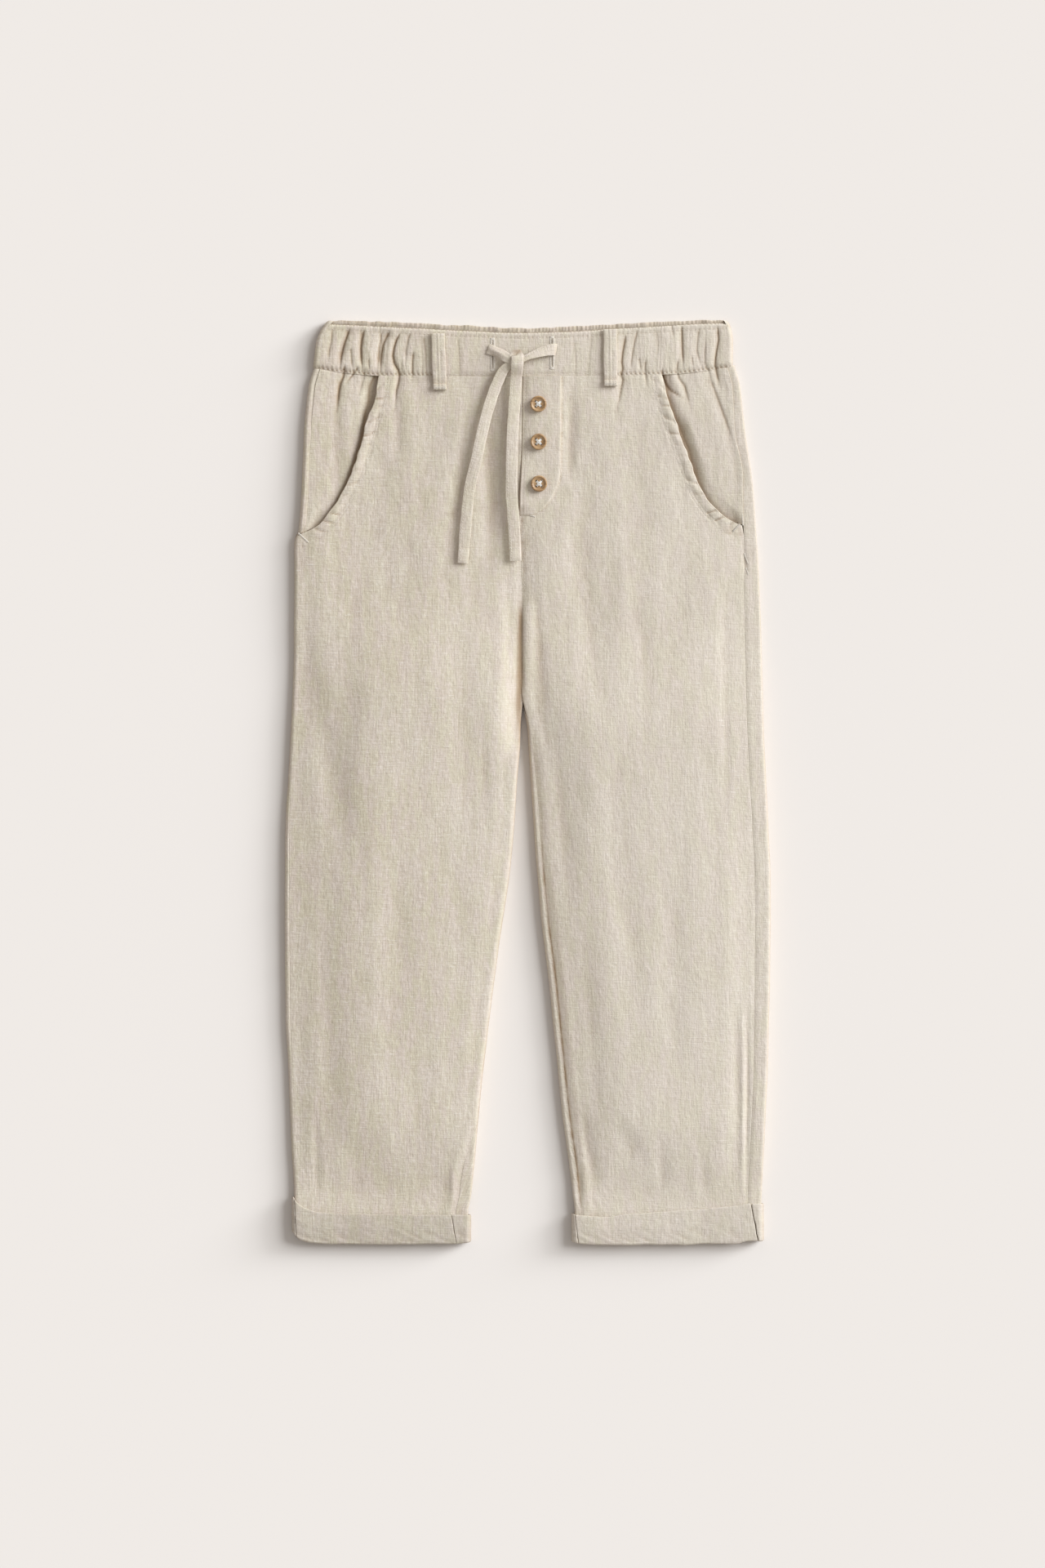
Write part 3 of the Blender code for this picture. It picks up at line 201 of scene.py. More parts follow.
# Pleats that the elastic draws in, from the band's top edge down past its seam. Cloth sinks slowly on a
# pleat's left and turns up steeply on its right; the first number is the width of that slow side.
PLEATS = table(
    Pleat,
    (2.6, 0.8, ((-133.6, 314.4), (-134.7, 303.8), (-136.4, 294.8), (-136.9, 288))),
    (1.7, 2.1, ((-121.6, 313), (-123.1, 308.3), (-125.3, 302.1), (-127.5, 294.1), (-128.7, 285.2))),
    (1.9, 0.9, ((-121.4, 299), (-120.9, 293), (-120.3, 284.6))),
    (1.6, 2, ((-111.9, 312.1), (-113.5, 304), (-114.1, 297.8), (-113.8, 290.9), (-113.2, 283.8))),
    (1, 0.7, ((-108.9, 291), (-108.5, 283.2))),
    (2.4, 1, ((-99.2, 311.8), (-100.7, 306.5), (-101.6, 299.7), (-102.2, 290.9), (-103.2, 284))),
    (2.2, 2, ((-93.9, 311.1), (-97, 305.9), (-98.8, 301.6), (-100.1, 295.3), (-100.7, 289.7),
     (-101.1, 282))),
    (1.4, 1.9, ((-86.7, 310.5), (-90.1, 304), (-91.7, 298.4), (-92.3, 293.4), (-91.4, 288.5),
     (-88.6, 283.5), (-88, 279.7), (-88.6, 274.7), (-89.9, 269.1), (-90.4, 257))),
    (2.4, 0.9, ((-80.5, 309.6), (-82, 305.3), (-83.2, 298), (-83.6, 288))),
    (1.9, 1, ((-78.4, 296), (-79, 290), (-79.2, 276))),
    (2.6, 0.7, ((-72, 309.4), (-70.3, 297), (-69.6, 284), (-68.6, 270))),
    (2.8, 0.4, ((-48.4, 308), (-47.2, 292), (-46.2, 272))),
    (1.5, 1.8, ((-125.4, 288), (-125.9, 279.7), (-128.1, 274.7), (-129.1, 269.6), (-130.8, 256))),
    (1.1, 1.2, ((-116, 286), (-117.3, 283.5), (-120.7, 279.2), (-124, 275))),
    (2.4, 0.7, ((-111, 286), (-112.4, 278), (-116, 266))),
    (2.8, 0.5, ((31, 306), (32.6, 292), (33.4, 270))),
    (2.6, 0.5, ((43.8, 308), (42.2, 294), (40.8, 272))),
    (1.6, 2.1, ((67.3, 310.2), (66.7, 304), (65.1, 295.3), (64.5, 289.1), (65.1, 284.1), (64.1, 279.7),
     (65.2, 276.9), (64.1, 271.7), (61.4, 256))),
    (2, 1.1, ((75.7, 312.2), (73.5, 304), (72.3, 298.4), (71, 289.8), (70.7, 279.6))),
    (1, 0.8, ((76.4, 292), (77.6, 283))),
    (1.6, 1, ((80.9, 291), (80.4, 284.8), (81.8, 272))),
    (2.4, 0.6, ((88, 311.5), (89.3, 302.1), (88.6, 290))),
    (1.2, 0.9, ((98.5, 314.3), (99.2, 310.6), (100.2, 305))),
    (1.4, 2.1, ((105.6, 314.6), (105.9, 308.3), (106.1, 299.7), (106.5, 292.2), (106.7, 285.4))),
    (1.1, 0.8, ((112.6, 293), (113.6, 285))),
    (2.4, 1.1, ((117.7, 312.8), (116.8, 306), (116.1, 296.5), (117.7, 289.8), (119.6, 284.6))),
    (2.2, 1.2, ((122.7, 312.6), (122, 304), (121.4, 294.7), (121.7, 287.8), (124.8, 281.6),
     (125.7, 276), (128.9, 268.5), (135.8, 249.5), (142.5, 229.9), (145.3, 218.1), (145.9, 180))),
    (1.2, 1.9, ((129.2, 314.6), (130.4, 310.2), (130.9, 304), (129.8, 297.1), (128.9, 290.9),
     (128.5, 287.2), (129.2, 283.5), (130.4, 278.5), (132.6, 271))),
    (1.6, 0.9, ((133.2, 288), (135.2, 275.8), (138.4, 264))),
    (1.5, 1.3, ((103.3, 292), (102.4, 283.5), (103.9, 277.9), (107.7, 273), (111.8, 258))),
    (1.2, 1.7, ((92.1, 286), (92.8, 278.5), (94.7, 274.1), (98.4, 269.8), (108, 263.6))),
    (2.2, 0.5, ((137, 274), (143, 254), (147, 228), (148.6, 196))),
    (2.2, 0.8, ((-146.2, 286), (-148.4, 250), (-149.2, 220), (-150.6, 196))),
    (1.4, 1.1, ((-148.6, 244), (-149.6, 224), (-151.2, 200), (-150.4, 180))),
)
# Largest folds of the fronts, depth below the surface and negative for a ridge
FOLDS = table(
    Fold, (-27, 272, -24, 150, 7, 1.7), (30, 276, 29, 204, 4.5, 1.2), (-39, 268, -55, 146, 5, 1.1),
    (34, 190, 50, 40, 9, 0.9), (60, 250, 66, 60, 9, -0.5), (-66, 240, -72, 20, 12, -0.5),
    (-46, 140, -40, -60, 9, 0.7), (-118, 170, -128, -40, 10, 0.6), (-88, -20, -92, -230, 11, 0.6),
    (-138, -60, -136, -262, 8, 0.6), (-58, -120, -66, -280, 8, -0.5), (137.5, 150, 136, -30, 4.5, 0.8),
    (112, 130, 116, -120, 10, -0.5), (60, 10, 76, -190, 10, 0.7), (98, -60, 104, -240, 9, 0.6),
    (36, -225, 50, -290, 5, 1), (58, -228, 84, -268, 7, 0.7), (143, -140, 145, -284, 4, 0.9),
    (92, -238, 93, -290, 5, 0.6),
)
# Smaller folds that only show close up
CREASES = table(
    Fold, (-131, 268, -130, 180, 4.5, 0.7), (-88, 272, -90, 215, 3.6, 0.6), (-156, 100, -120, -60, 11, 1.1),
    (-118, 262, -120, 228, 3, 0.4), (112, 200, 122, 192, 2.4, 0.3), (-32, 60, -28, -40, 4, 0.35),
    (-12, 126, -16, 50, 3, 0.4), (6, 128, 12, 40, 3, 0.5), (18, 40, 30, -90, 5, 0.4),
    (40, -110, 48, -230, 5, 0.35), (146.5, -150, 147.5, -286, 1.6, -0.5),
    (150.5, -150, 150.5, -286, 1.4, 0.5), (-145, -220, -144, -290, 3, 0.5),
    (-120, -240, -116, -288, 5, 0.35), (-80, -250, -84, -290, 6, -0.3), (-52, -262, -51, -292, 1.4, -0.5),
    (35.5, -262, 37, -292, 1.6, 0.6), (120, -250, 122, -290, 4, 0.35), (76, 150, 84, 20, 6, 0.35),
    (-100, 120, -104, -20, 7, 0.3), (-150, 150, -152, 60, 5, 0.35), (148, 160, 150.5, 142, 1.4, 0.5),
)
# Broad to fine unevenness of the cloth: bump size across and along, height
RUMPLE = ((46.0, 170.0, 0.5), (19.0, 62.0, 0.27), (10.0, 19.0, 0.14), (4.6, 8.5, 0.08))
WANDER = ((58.0, 0.30), (23.0, 0.20))  # bump size, sideways shift of every edge

# ---------------------------------------------------------------- numbers


def smooth(value):
    """0 below 0, 1 above 1, with a soft step between."""
    value = np.clip(value, 0.0, 1.0)
    return value * value * (3.0 - 2.0 * value)


def mix(a, b, share):
    return a + (b - a) * share


def ramp(value, start, full):
    """0 up to start and 1 from full on, with a soft step between; full may be below start."""
    return smooth((value - start) / (full - start))


def bell(distance, width):
    """1 at no distance, and near 0 two widths away."""
    return np.exp(-((distance / width) ** 2))


class Curve:
    """Reads a table's column at any value of its key, on a curve that never overshoots."""

    def __init__(self, rows, key, column):
        pairs = sorted((getattr(row, key), getattr(row, column)) for row in rows)
        self.keys, self.values = np.array(pairs, float).T
        steps = np.diff(self.values) / np.diff(self.keys)
        slopes = [steps[0]]
        for before, after in zip(steps, steps[1:]):
            slopes.append(0.0 if before * after <= 0.0 else 2.0 * before * after / (before + after))
        self.slopes = np.array(slopes + [steps[-1]])

    def __call__(self, at):
        at = np.clip(at, self.keys[0], self.keys[-1])
        i = np.clip(np.searchsorted(self.keys, at, side="right") - 1, 0, len(self.keys) - 2)
        span = self.keys[i + 1] - self.keys[i]
        t = (at - self.keys[i]) / span
        plain = self.values[i] * (1 + 2 * t) * (1 - t) ** 2 + self.values[i + 1] * t * t * (3 - 2 * t)
        return plain + span * (self.slopes[i] * t * (1 - t) ** 2 - self.slopes[i + 1] * t * t * (1 - t))


def chance(i, j, seed):
    """A fixed number from -1 to 1 for each cell of a grid."""
    n = (i * 374761393 + j * 668265263 + seed * 974634777) & 0xFFFFFFFF
    n = ((n ^ (n >> 13)) * 1274126177) & 0xFFFFFFFF
    return (n ^ (n >> 16)) / 0x7FFFFFFF - 1.0


def ripples(x, y, wide, long, seed):
    """Smooth unevenness from -1 to 1, with bumps of about wide by long millimetres."""
    total = 0.0
    for turn in (0.35, -0.2):  # two layers, turned apart so that no grid shows
        u = (x * math.cos(turn) + y * math.sin(turn) * wide / long) / wide
        v = (y * math.cos(turn) - x * math.sin(turn) * long / wide) / long
        i, j = np.floor(u).astype(np.int64), np.floor(v).astype(np.int64)
        s, t = smooth(u - i), smooth(v - j)
        low = mix(chance(i, j, seed), chance(i + 1, j, seed), s)
        high = mix(chance(i, j + 1, seed), chance(i + 1, j + 1, seed), s)
        total = total + mix(low, high, t)
        seed += 1
    return total / 1.4


def waves(along, size, seed):
    """The same unevenness along a line."""
    return ripples(along, along * 0.0, size, size, seed)


def wander(points):
    """Shifts points sideways a little, alike for all pieces, so that no edge is ruled."""
    x, y = points[..., 0], points[..., 1]
    moved = points.copy()
    for n, (size, shift) in enumerate(WANDER):
        moved[..., 0] += shift * ripples(x, y, size, size, 40 + n)
        moved[..., 1] += shift * ripples(x, y, size, size, 50 + n)
    return moved


def fold_depth(x, y, folds):
    """How deep the folds of a table are at a place."""
    total = np.zeros(np.broadcast(x, y).shape)
    for fold in folds:
        run_x, run_y = fold.x1 - fold.x0, fold.y1 - fold.y0
        length = math.hypot(run_x, run_y)
        share = ((x - fold.x0) * run_x + (y - fold.y0) * run_y) / length**2
        sideways = ((x - fold.x0) * run_y - (y - fold.y0) * run_x) / length
        along = np.sin(math.pi * np.clip(share, 0.0, 1.0)) ** 0.8
        total += fold.depth * along * bell(sideways, fold.width)
    return total


def pleat_depth(x, y):
    """How deep the pleats are at a place on the band, or on the panels below it."""
    x, y = np.broadcast_arrays(np.asarray(x, float), np.asarray(y, float))
    total = np.zeros(x.shape)
    for pleat in PLEATS:
        places = np.array(pleat.route)
        reach = 4.0 * pleat.width
        (left, low), (right, high) = places.min(axis=0) - reach, places.max(axis=0) + reach
        near = (x > left) & (x < right) & (y > low) & (y < high)
        if not near.any():
            continue
        distance, run, offset = beside(x[near], y[near], pleat.route)
        share = run / length_of(pleat.route)
        fade = smooth(share * 7.0) * (1.0 - 0.8 * ramp(share, 0.66, 1.0))
        steep = np.where(offset < 0.0, distance / pleat.width, distance / (0.3 * pleat.width))
        broad = 0.38 * bell(distance, 2.2 * pleat.width)
        total[near] += pleat.depth * fade * (np.exp(-steep) + broad)
    return total


FLAT_MIDDLE_X = -3.0
ELASTIC_STARTS = (46.0, 70.0)  # away from it, where the elastic starts to gather and where it is full


def elastic_share(x):
    """0 on the flat middle of the waistband, 1 where elastic gathers it."""
    return ramp(np.abs(x - FLAT_MIDDLE_X), *ELASTIC_STARTS)


PUCKERS = ((5.0, 0.16, 0.62), (3.2, 0.2, 0.36))  # spacing, width as a share of it, depth
PUCKER_REACH = 22.0  # below the waist seam


def puckers(x, y):
    """Small gathers between the pleats, strongest at the waist seam."""
    seam = waist_seam(x)
    above = 1.0 - 0.45 * smooth((y - seam) / 12.0)
    fade = np.where(y > seam, above, (1.0 - smooth((seam - y) / PUCKER_REACH)) ** 2)
    fine = 0.0
    for n, (wide, width, depth) in enumerate(PUCKERS):
        line = ripples(x, y, wide, 46.0, 61 + 4 * n)
        strength = 0.5 + 0.5 * ripples(x, y, 9.0, 14.0, 63 + 4 * n)
        fine = fine + strength * bell(line, width) * depth
    soft = 0.3 * ripples(x, y, 6.5, 70.0, 67)
    return elastic_share(x) * fade * (fine + soft)


GATHER_STRENGTHS = (0.78, 0.5)  # on the wearer's right and left
GATHER_CHANGES = (-20.0, 40.0)  # places across between which the strength changes


def gathers(x, y):
    """All that the elastic draws in, which is weaker on the left side."""
    strength = mix(*GATHER_STRENGTHS, ramp(np.asarray(x, float), *GATHER_CHANGES))
    return strength * (pleat_depth(x, y) + puckers(x, y))


def rumple(x, y):
    """Unevenness of the cloth, stronger toward the waist."""
    layers = enumerate(RUMPLE)
    uneven = sum(height * ripples(x, y, wide, long, 11 + 2 * n) for n, (wide, long, height) in layers)
    return uneven * (1.0 + 0.55 * ramp(y, 60.0, 180.0))


def beside(x, y, route):
    """Distance of places from a route of (x, y) points, how far along it the nearest point is, and a
    number below 0 on the left of a downward route, above 0 on its right."""
    best = np.full(np.broadcast(x, y).shape, np.inf)
    run_at, offset = np.zeros(best.shape), np.zeros(best.shape)
    run = 0.0
    for (ax, ay), (bx, by) in zip(route, route[1:]):
        length = math.hypot(bx - ax, by - ay)
        share = np.clip(((x - ax) * (bx - ax) + (y - ay) * (by - ay)) / length**2, 0.0, 1.0)
        distance = np.hypot(x - ax - share * (bx - ax), y - ay - share * (by - ay))
        closer = distance < best
        best = np.where(closer, distance, best)
        run_at = np.where(closer, run + share * length, run_at)
        offset = np.where(closer, (x - ax) * (ay - by) + (y - ay) * (bx - ax), offset)
        run += length
    return best, run_at, offset


def away(x, y, route):
    """Distance of places from a route, and how far along it the nearest point is."""
    return beside(x, y, route)[:2]


def runs_of(route):
    """How far along a route each of its points is."""
    return np.cumsum([0.0] + [math.dist(a, b) for a, b in zip(route, route[1:])])


def length_of(route):
    return sum(math.dist(a, b) for a, b in zip(route, route[1:]))


def evenly(route, step):
    """Points on a route, about a step apart."""
    route = np.array(route, float)
    runs = runs_of(route[:, :2])
    stops = np.linspace(0.0, runs[-1], max(2, round(runs[-1] / step) + 1))
    return np.stack([np.interp(stops, runs, route[:, k]) for k in range(route.shape[1])], axis=1)


def parallel(route, offset):
    """A route moved sideways, to the left of its direction."""
    route = np.array(route, float)
    ahead = np.gradient(route, axis=0)
    ahead /= np.hypot(ahead[:, 0], ahead[:, 1])[:, None]
    return route + offset * np.stack([-ahead[:, 1], ahead[:, 0]], axis=1)


waist_seam = Curve(WAIST_SEAM, "x", "y")
centre_seam = Curve(CENTRE, "y", "x")
band_top = Curve(BAND_TOP_FRONT, "x", "y")
back_band_top = Curve(BAND_TOP_BACK, "x", "y")
fly_right = Curve(FLY_EDGE, "y", "right")


class Side:
    """One side of the garment, with places across it counted outward from the middle."""

    def __init__(self, name, sign, outer, inner, pocket, hem, band):
        self.name = name
        self.sign = sign
        self.outer_x = Curve(outer, "y", "outer")
        self.outer_wrap = Curve(outer, "y", "wrap")
        self.inner_x = Curve(inner, "y", "inner")
        self.inner_wrap = Curve(inner, "y", "wrap")
        self.band_x = Curve(band, "y", "outer")
        self.band_wrap = Curve(band, "y", "wrap")
        self.hem_top = Curve(hem, "x", "top")
        self.hem_bottom = Curve(hem, "x", "bottom")
        # the opening as a route in places across, smoothed through the table's points
        Step = namedtuple("Step", "run across y")
        runs = runs_of(pocket)
        steps = [Step(run, sign * spot.x, spot.y) for run, spot in zip(runs, pocket)]
        self.opening_length = runs[-1]
        self.opening_across = Curve(steps, "run", "across")
        self.opening_y = Curve(steps, "run", "y")
        stops = np.linspace(0.0, runs[-1], 60)
        self.opening = list(zip(self.opening_across(stops), self.opening_y(stops)))

    def closed(self, y):
        """0 where the two sides are one body, 1 where this leg is a tube of its own."""
        return smooth((CROTCH_START_Y - y) / (CROTCH_START_Y - CROTCH_END_Y))

    def inner(self, y):
        torso = self.sign * centre_seam(y) + SEAM_HALF
        parted = smooth((PARTING_START_Y - y) / (PARTING_START_Y - PARTING_END_Y))
        return mix(torso, self.sign * self.inner_x(y), parted)

    def outer(self, y):
        return self.sign * self.outer_x(y)


SIDES = {
    "right": Side("right", -1, OUTER_RIGHT, INNER_RIGHT, POCKET_RIGHT, HEM_RIGHT, BAND_EDGE_RIGHT),
    "left": Side("left", 1, OUTER_LEFT, INNER_LEFT, POCKET_LEFT, HEM_LEFT, BAND_EDGE_LEFT),
}

# ---------------------------------------------------------------- stitched rows

ROW_DEPTH = 0.22  # how far a row of stitches pulls the cloth in
ROW_WIDTH = 0.7
STITCH = 2.5  # stitch pitch
BAND_STITCH = 3.1
POCKET_ROWS = (6.6, 8.2)  # rows of stitches inside the pocket openings
TOP_ROW = 3.3  # below the band's top edge
LOW_ROW = 1.5  # above the waist seam


def fly_route():
    """The J of stitches down the fly and across to the centre seam."""
    spots = [(jay.right - 0.9, jay.y) for jay in FLY_EDGE]
    return [(spots[0][0], 277.8)] + spots[1:-1] + [(4.6, 185.2)]


def fly_edge_route():
    return [(float(centre_seam(y)) + FLY_EDGE_ROW, float(y)) for y in np.linspace(278.0, 187.0, 30)]


def crotch_route(offset):
    return [(float(centre_seam(y)) + offset, float(y)) for y in np.linspace(182.0, 127.0, 20)]


PANEL_ROWS = [fly_route(), crotch_route(2.0)]
for one in SIDES.values():
    for inset in POCKET_ROWS:
        row = parallel([(one.sign * across, y) for across, y in one.opening], -one.sign * inset)
        PANEL_ROWS.append([tuple(spot) for spot in row if spot[1] < float(waist_seam(spot[0])) - 1.0])


def row_depth(x, y, routes):
    """How far rows of stitches sink the cloth, with small uneven puckers beside them."""
    x, y = np.broadcast_arrays(np.asarray(x, float), np.asarray(y, float))
    total = np.zeros(x.shape)
    for route in routes:
        places = np.array(route)
        (left, low), (right, high) = places.min(axis=0) - 8.0, places.max(axis=0) + 8.0
        near = (x > left) & (x < right) & (y > low) & (y < high)
        if not near.any():
            continue
        distance, run = away(x[near], y[near], route)
        pull = 0.85 + 0.5 * waves(run, 4.0, 71)
        row = ROW_DEPTH * pull * bell(distance, ROW_WIDTH)
        row += 0.16 * bell(distance, 3.0) * ripples(x[near], y[near], 3.4, 3.4, 73)
        total[near] = np.maximum(total[near], row)
    return total


# ---------------------------------------------------------------- heights of the cloth

LOFT = {"right": (64.0, 5.4), "left": (50.0, 5.2)}  # how far across each leg its loft rises, and how high
LOFT_START_Y = {"right": 142.0, "left": 118.0}
CRISP = 0.5  # power that squares the fold of an edge toward the light
CENTRE_RIDGE = 0.35  # seam allowances under the cloth beside the centre seam and inseams
POCKET_LIFT = 0.9  # how far the middle of a pocket's edge stands up
LOFT_FADE = 90.0  # from a leg's full loft up to none
SEWN_REACH = 9.0  # how far the centre seam holds the loft down beside it
SEWN_Y = (10.0, 50.0)  # levels from which and above which it does
# At the crotch the left leg's cloth rolls over the fold: height, and how far in it starts and ends
OVERLAP = 1.5
OVERLAP_START = 0.9
OVERLAP_WIDTH = 8.0
OVERLAP_TOP_Y = (130.0, 110.0)
OVERLAP_FOOT_Y = (10.0, 40.0)


def lift(y):
    """Underside of a back panel over the floor: it rises onto the turn-up's back."""
    return LEG_SINK * smooth((CUFF_START_Y - y) / (CUFF_START_Y - CUFF_FULL_Y))


def edge_rise(y):
    inside_cuff = CUFF_RISE - LEG_SINK
    return mix(EDGE_RISE, inside_cuff, smooth((CUFF_START_Y - y) / (CUFF_START_Y - CUFF_FULL_Y)))


def leg_radius(y):
    return (edge_rise(y) - lift(y)) / 2


def seam_place(edge, wrap, radius):
    """Where a seam lies across a tube's top face, when it is wrap inside the folded edge."""
    turned = np.arcsin(np.clip(1.0 - wrap / radius, -1.0, 1.0))
    return np.where(wrap >= radius, edge - wrap, edge - radius + radius * turned)


def side_seam(side, y):
    return seam_place(side.outer(y), side.outer_wrap(y), leg_radius(y))


def dome(side, across, y):
    """Loft of a leg: it rises softly from the edge away from the light, below the hips."""
    seam, inner = side_seam(side, y), side.inner(y)
    from_shade = np.where(side.sign > 0, across - inner, seam - across)
    fade = smooth((LOFT_START_Y[side.name] - y) / LOFT_FADE) * smooth((y - CUFF_START_Y + 20.0) / 60.0)
    run, rise = LOFT[side.name]
    sewn = bell(across - inner, SEWN_REACH) * ramp(y, *SEWN_Y)
    return rise * fade * smooth(from_shade / run) * (1.0 - sewn)


def front_height(side, across, y):
    """Top face of a leg over the floor, with all its folds."""
    from_side = side_seam(side, y) - across
    from_inner = across - side.inner(y)
    beside_fly = smooth((y - FLY_FOOT_Y) / FLY_SWELL)
    swell = smooth(from_side / SIDE_SWELL) * mix(smooth(from_inner / INNER_SWELL), 1.0, beside_fly)
    x = side.sign * across
    below_waist = smooth((waist_seam(x) - y) / WAIST_SWELL)
    above_cuff = smooth((y - CUFF_FULL_Y) / CUFF_SWELL)
    puff = mix(WAIST_PUFF, CROWN, below_waist) - fold_depth(x, y, FOLDS)
    held = smooth((y - CUFF_FULL_Y) / 12.0)
    loose = (rumple(x, y) - fold_depth(x, y, CREASES)) * mix(0.4, 1.0, held)
    gathered = gathers(x, y) * smooth(from_side / GATHER_FADE)
    seam = SEAM_DEPTH * bell(from_side, SEAM_WIDTH)
    if side.sign > 0:
        rolled_over = 1.0 - np.exp(-np.clip(from_inner, 0.0, 40.0) / OVERLAP_START)
        rolled_over = rolled_over * bell(from_inner, OVERLAP_WIDTH)
        seam = seam - OVERLAP * rolled_over * ramp(y, *OVERLAP_TOP_Y) * ramp(y, *OVERLAP_FOOT_Y)
    return edge_rise(y) + puff * swell * above_cuff + dome(side, across, y) + loose - gathered - seam


def inner_begin(side, y):
    """Where the cloth starts to turn down at a leg's inner edge."""
    return side.inner(y) + leg_radius(y) * np.sin(side.closed(y) * math.pi / 2)


def inner_angle(side, y):
    radius = leg_radius(y)
    return np.arcsin(1.0 - np.minimum(side.inner_wrap(y), radius) / radius)


def inseam(side, y):
    """Where the centre seam or the inseam lies across the top face."""
    wrap, radius = side.inner_wrap(y), leg_radius(y)
    turned = inner_begin(side, y) - radius * side.closed(y) * inner_angle(side, y)
    return np.where((wrap >= radius) & (y < CROTCH_END_Y), side.inner(y) + wrap, turned)


def held_across(side, across, y):
    """The nearest place across that is still on the flat of a leg's top face."""
    begin = np.where(side.closed(y) > 0.0, inner_begin(side, y), -1e6)
    return np.clip(across, begin, side.outer(y) - leg_radius(y))


def folded(turn, lit):
    """Shares out and up round an edge. The cloth is pressed flatter where the edge faces the light."""
    out, up = np.sin(turn), np.cos(turn)
    power = np.where(lit, CRISP, 1.0)
    return np.sign(out) * np.abs(out) ** power, np.sign(up) * np.abs(up) ** power


def over(side, across, y, depth, top):
    """Points of the cloth over a leg, which carries on round its edges, depth inside its outer face. top
    is the outer face's height at held_across."""
    radius = leg_radius(y)
    held = held_across(side, across, y)
    turn = (across - held) / radius
    flat = lift(y) + radius
    out, facing = folded(turn, side.sign * turn > 0.0)
    raised = (top - flat - radius) * np.clip(facing, 0.0, 1.0)
    return held + (radius - depth) * out, flat + (radius - depth) * facing + raised


def levelled(side, across, y):
    """Grid rows follow the waist seam at the top and the turn-up at the bottom."""
    x = side.sign * across
    at_hem = smooth((CUFF_FULL_Y - y) / ROWS_TO_HEM)
    end = side.hem_bottom(x + side.sign * LEG_SINK) + TURN_RADIUS + TURN_LIP + TURN_GAP
    at_waist = smooth((y - ROWS_CURVE_Y) / (WAIST_Y - ROWS_CURVE_Y))
    y = y + (waist_seam(x) - SEAM_HALF - WAIST_Y) * at_waist
    return mix(y, end + (y - LAST_ROW_Y), at_hem)


# ---------------------------------------------------------------- meshes

ROLL = 0.35  # radius of a cloth's rounded edge
SEAM_ROLL = 0.12  # and where two panels meet
# Painted shade, kept in each shell's hollow attribute, which darkens the linen's colour:
HOLLOW_SCALES = ((1.2, 0.9), (4.0, 0.5))  # millimetres either way, weight of a millimetre's depth
DEEPEST = 1.25  # the most that a place is shaded
LIT_FACE_PAINTED_SHADE = 0.28  # how much painted shade a steep face toward the light gets, which dims its lit edge
EDGE_PAINTED_SHADE = 0.5  # how much painted shade the cloth gets where it turns down a folded edge
ROLL_STOPS = (0.0, 0.12, 0.4, 0.9, 1.8)  # columns beside an edge, measured in from it


def rolled(inward, radius=ROLL):
    """How far a face sinks near an edge that is rounded by a radius."""
    near = np.clip(inward / radius, 0.0, 1.0)
    return radius * (1.0 - np.sqrt(1.0 - (1.0 - near) ** 2))


def painted_shade_amount(points):
    """Painted shade of a grid of points: deep in folds, turned down an edge or steep toward the light; 0 is
    none.
    """
    z = points[..., 2]
    total = np.zeros(z.shape)
    for axis in (0, 1):
        pitch = np.median(np.linalg.norm(np.diff(points, axis=axis), axis=-1))
        for reach, weight in HOLLOW_SCALES:
            cells, count = max(1, int(round(reach / pitch))), z.shape[axis]
            widths = [(cells, cells) if n == axis else (0, 0) for n in (0, 1)]
            wide = np.pad(z, widths, mode="reflect", reflect_type="odd")
            ends = wide.take(range(count), axis) + wide.take(range(2 * cells, 2 * cells + count), axis)
            total += weight * np.clip(ends / 2.0 - z, 0.0, 1.5)
    across, up = np.gradient(points, axis=1), np.gradient(points, axis=0)
    normal = np.cross(across, up)
    normal /= np.maximum(np.linalg.norm(normal, axis=-1), 1e-9)[..., None]
    upright = np.abs(normal[..., 2])
    toward_light = normal[..., 0] * np.sign(normal[..., 2])
    edge = EDGE_PAINTED_SHADE * ramp(upright, 0.8, 0.0) + LIT_FACE_PAINTED_SHADE * ramp(toward_light, 0.25, 0.75)
    return np.clip(total, 0.0, 1.0) * smooth(upright * 4.0) + edge


BrownLine = namedtuple("BrownLine", "tone offset width")
INSEAM_SHADE = BrownLine(1.9, 0.0, 0.85)  # painted shade in the left inseam
RIDGE_SHADE = BrownLine(0.3, 4.6, 2.2)  # and on the ridge beside it
INSEAM_SHADE_Y = ((-20.0, -80.0), (-292.0, -282.0))  # where these start and end
# Route of the painted shade in the fold at the crotch
CROTCH_FOLD = table(Spot, (-4, 132), (-4.4, 118), (-4.6, 96), (-4.4, 72), (-4.8, 56), (-7.6, -10))
CROTCH_FOLD_SHADE = 1.2
FOLD_WIDTHS = (2.6, 0.8)  # to the right leg and to the left leg of the fold
FOLD_FADES = ((60.0, 10.0), (-20.0, 20.0))  # fainter between the first levels, none below the last
CUFF_TOP_SHADE = (("right", -46.5, 4.0), ("left", 38.0, 14.0))  # turn-up, middle of its painted shade, half width
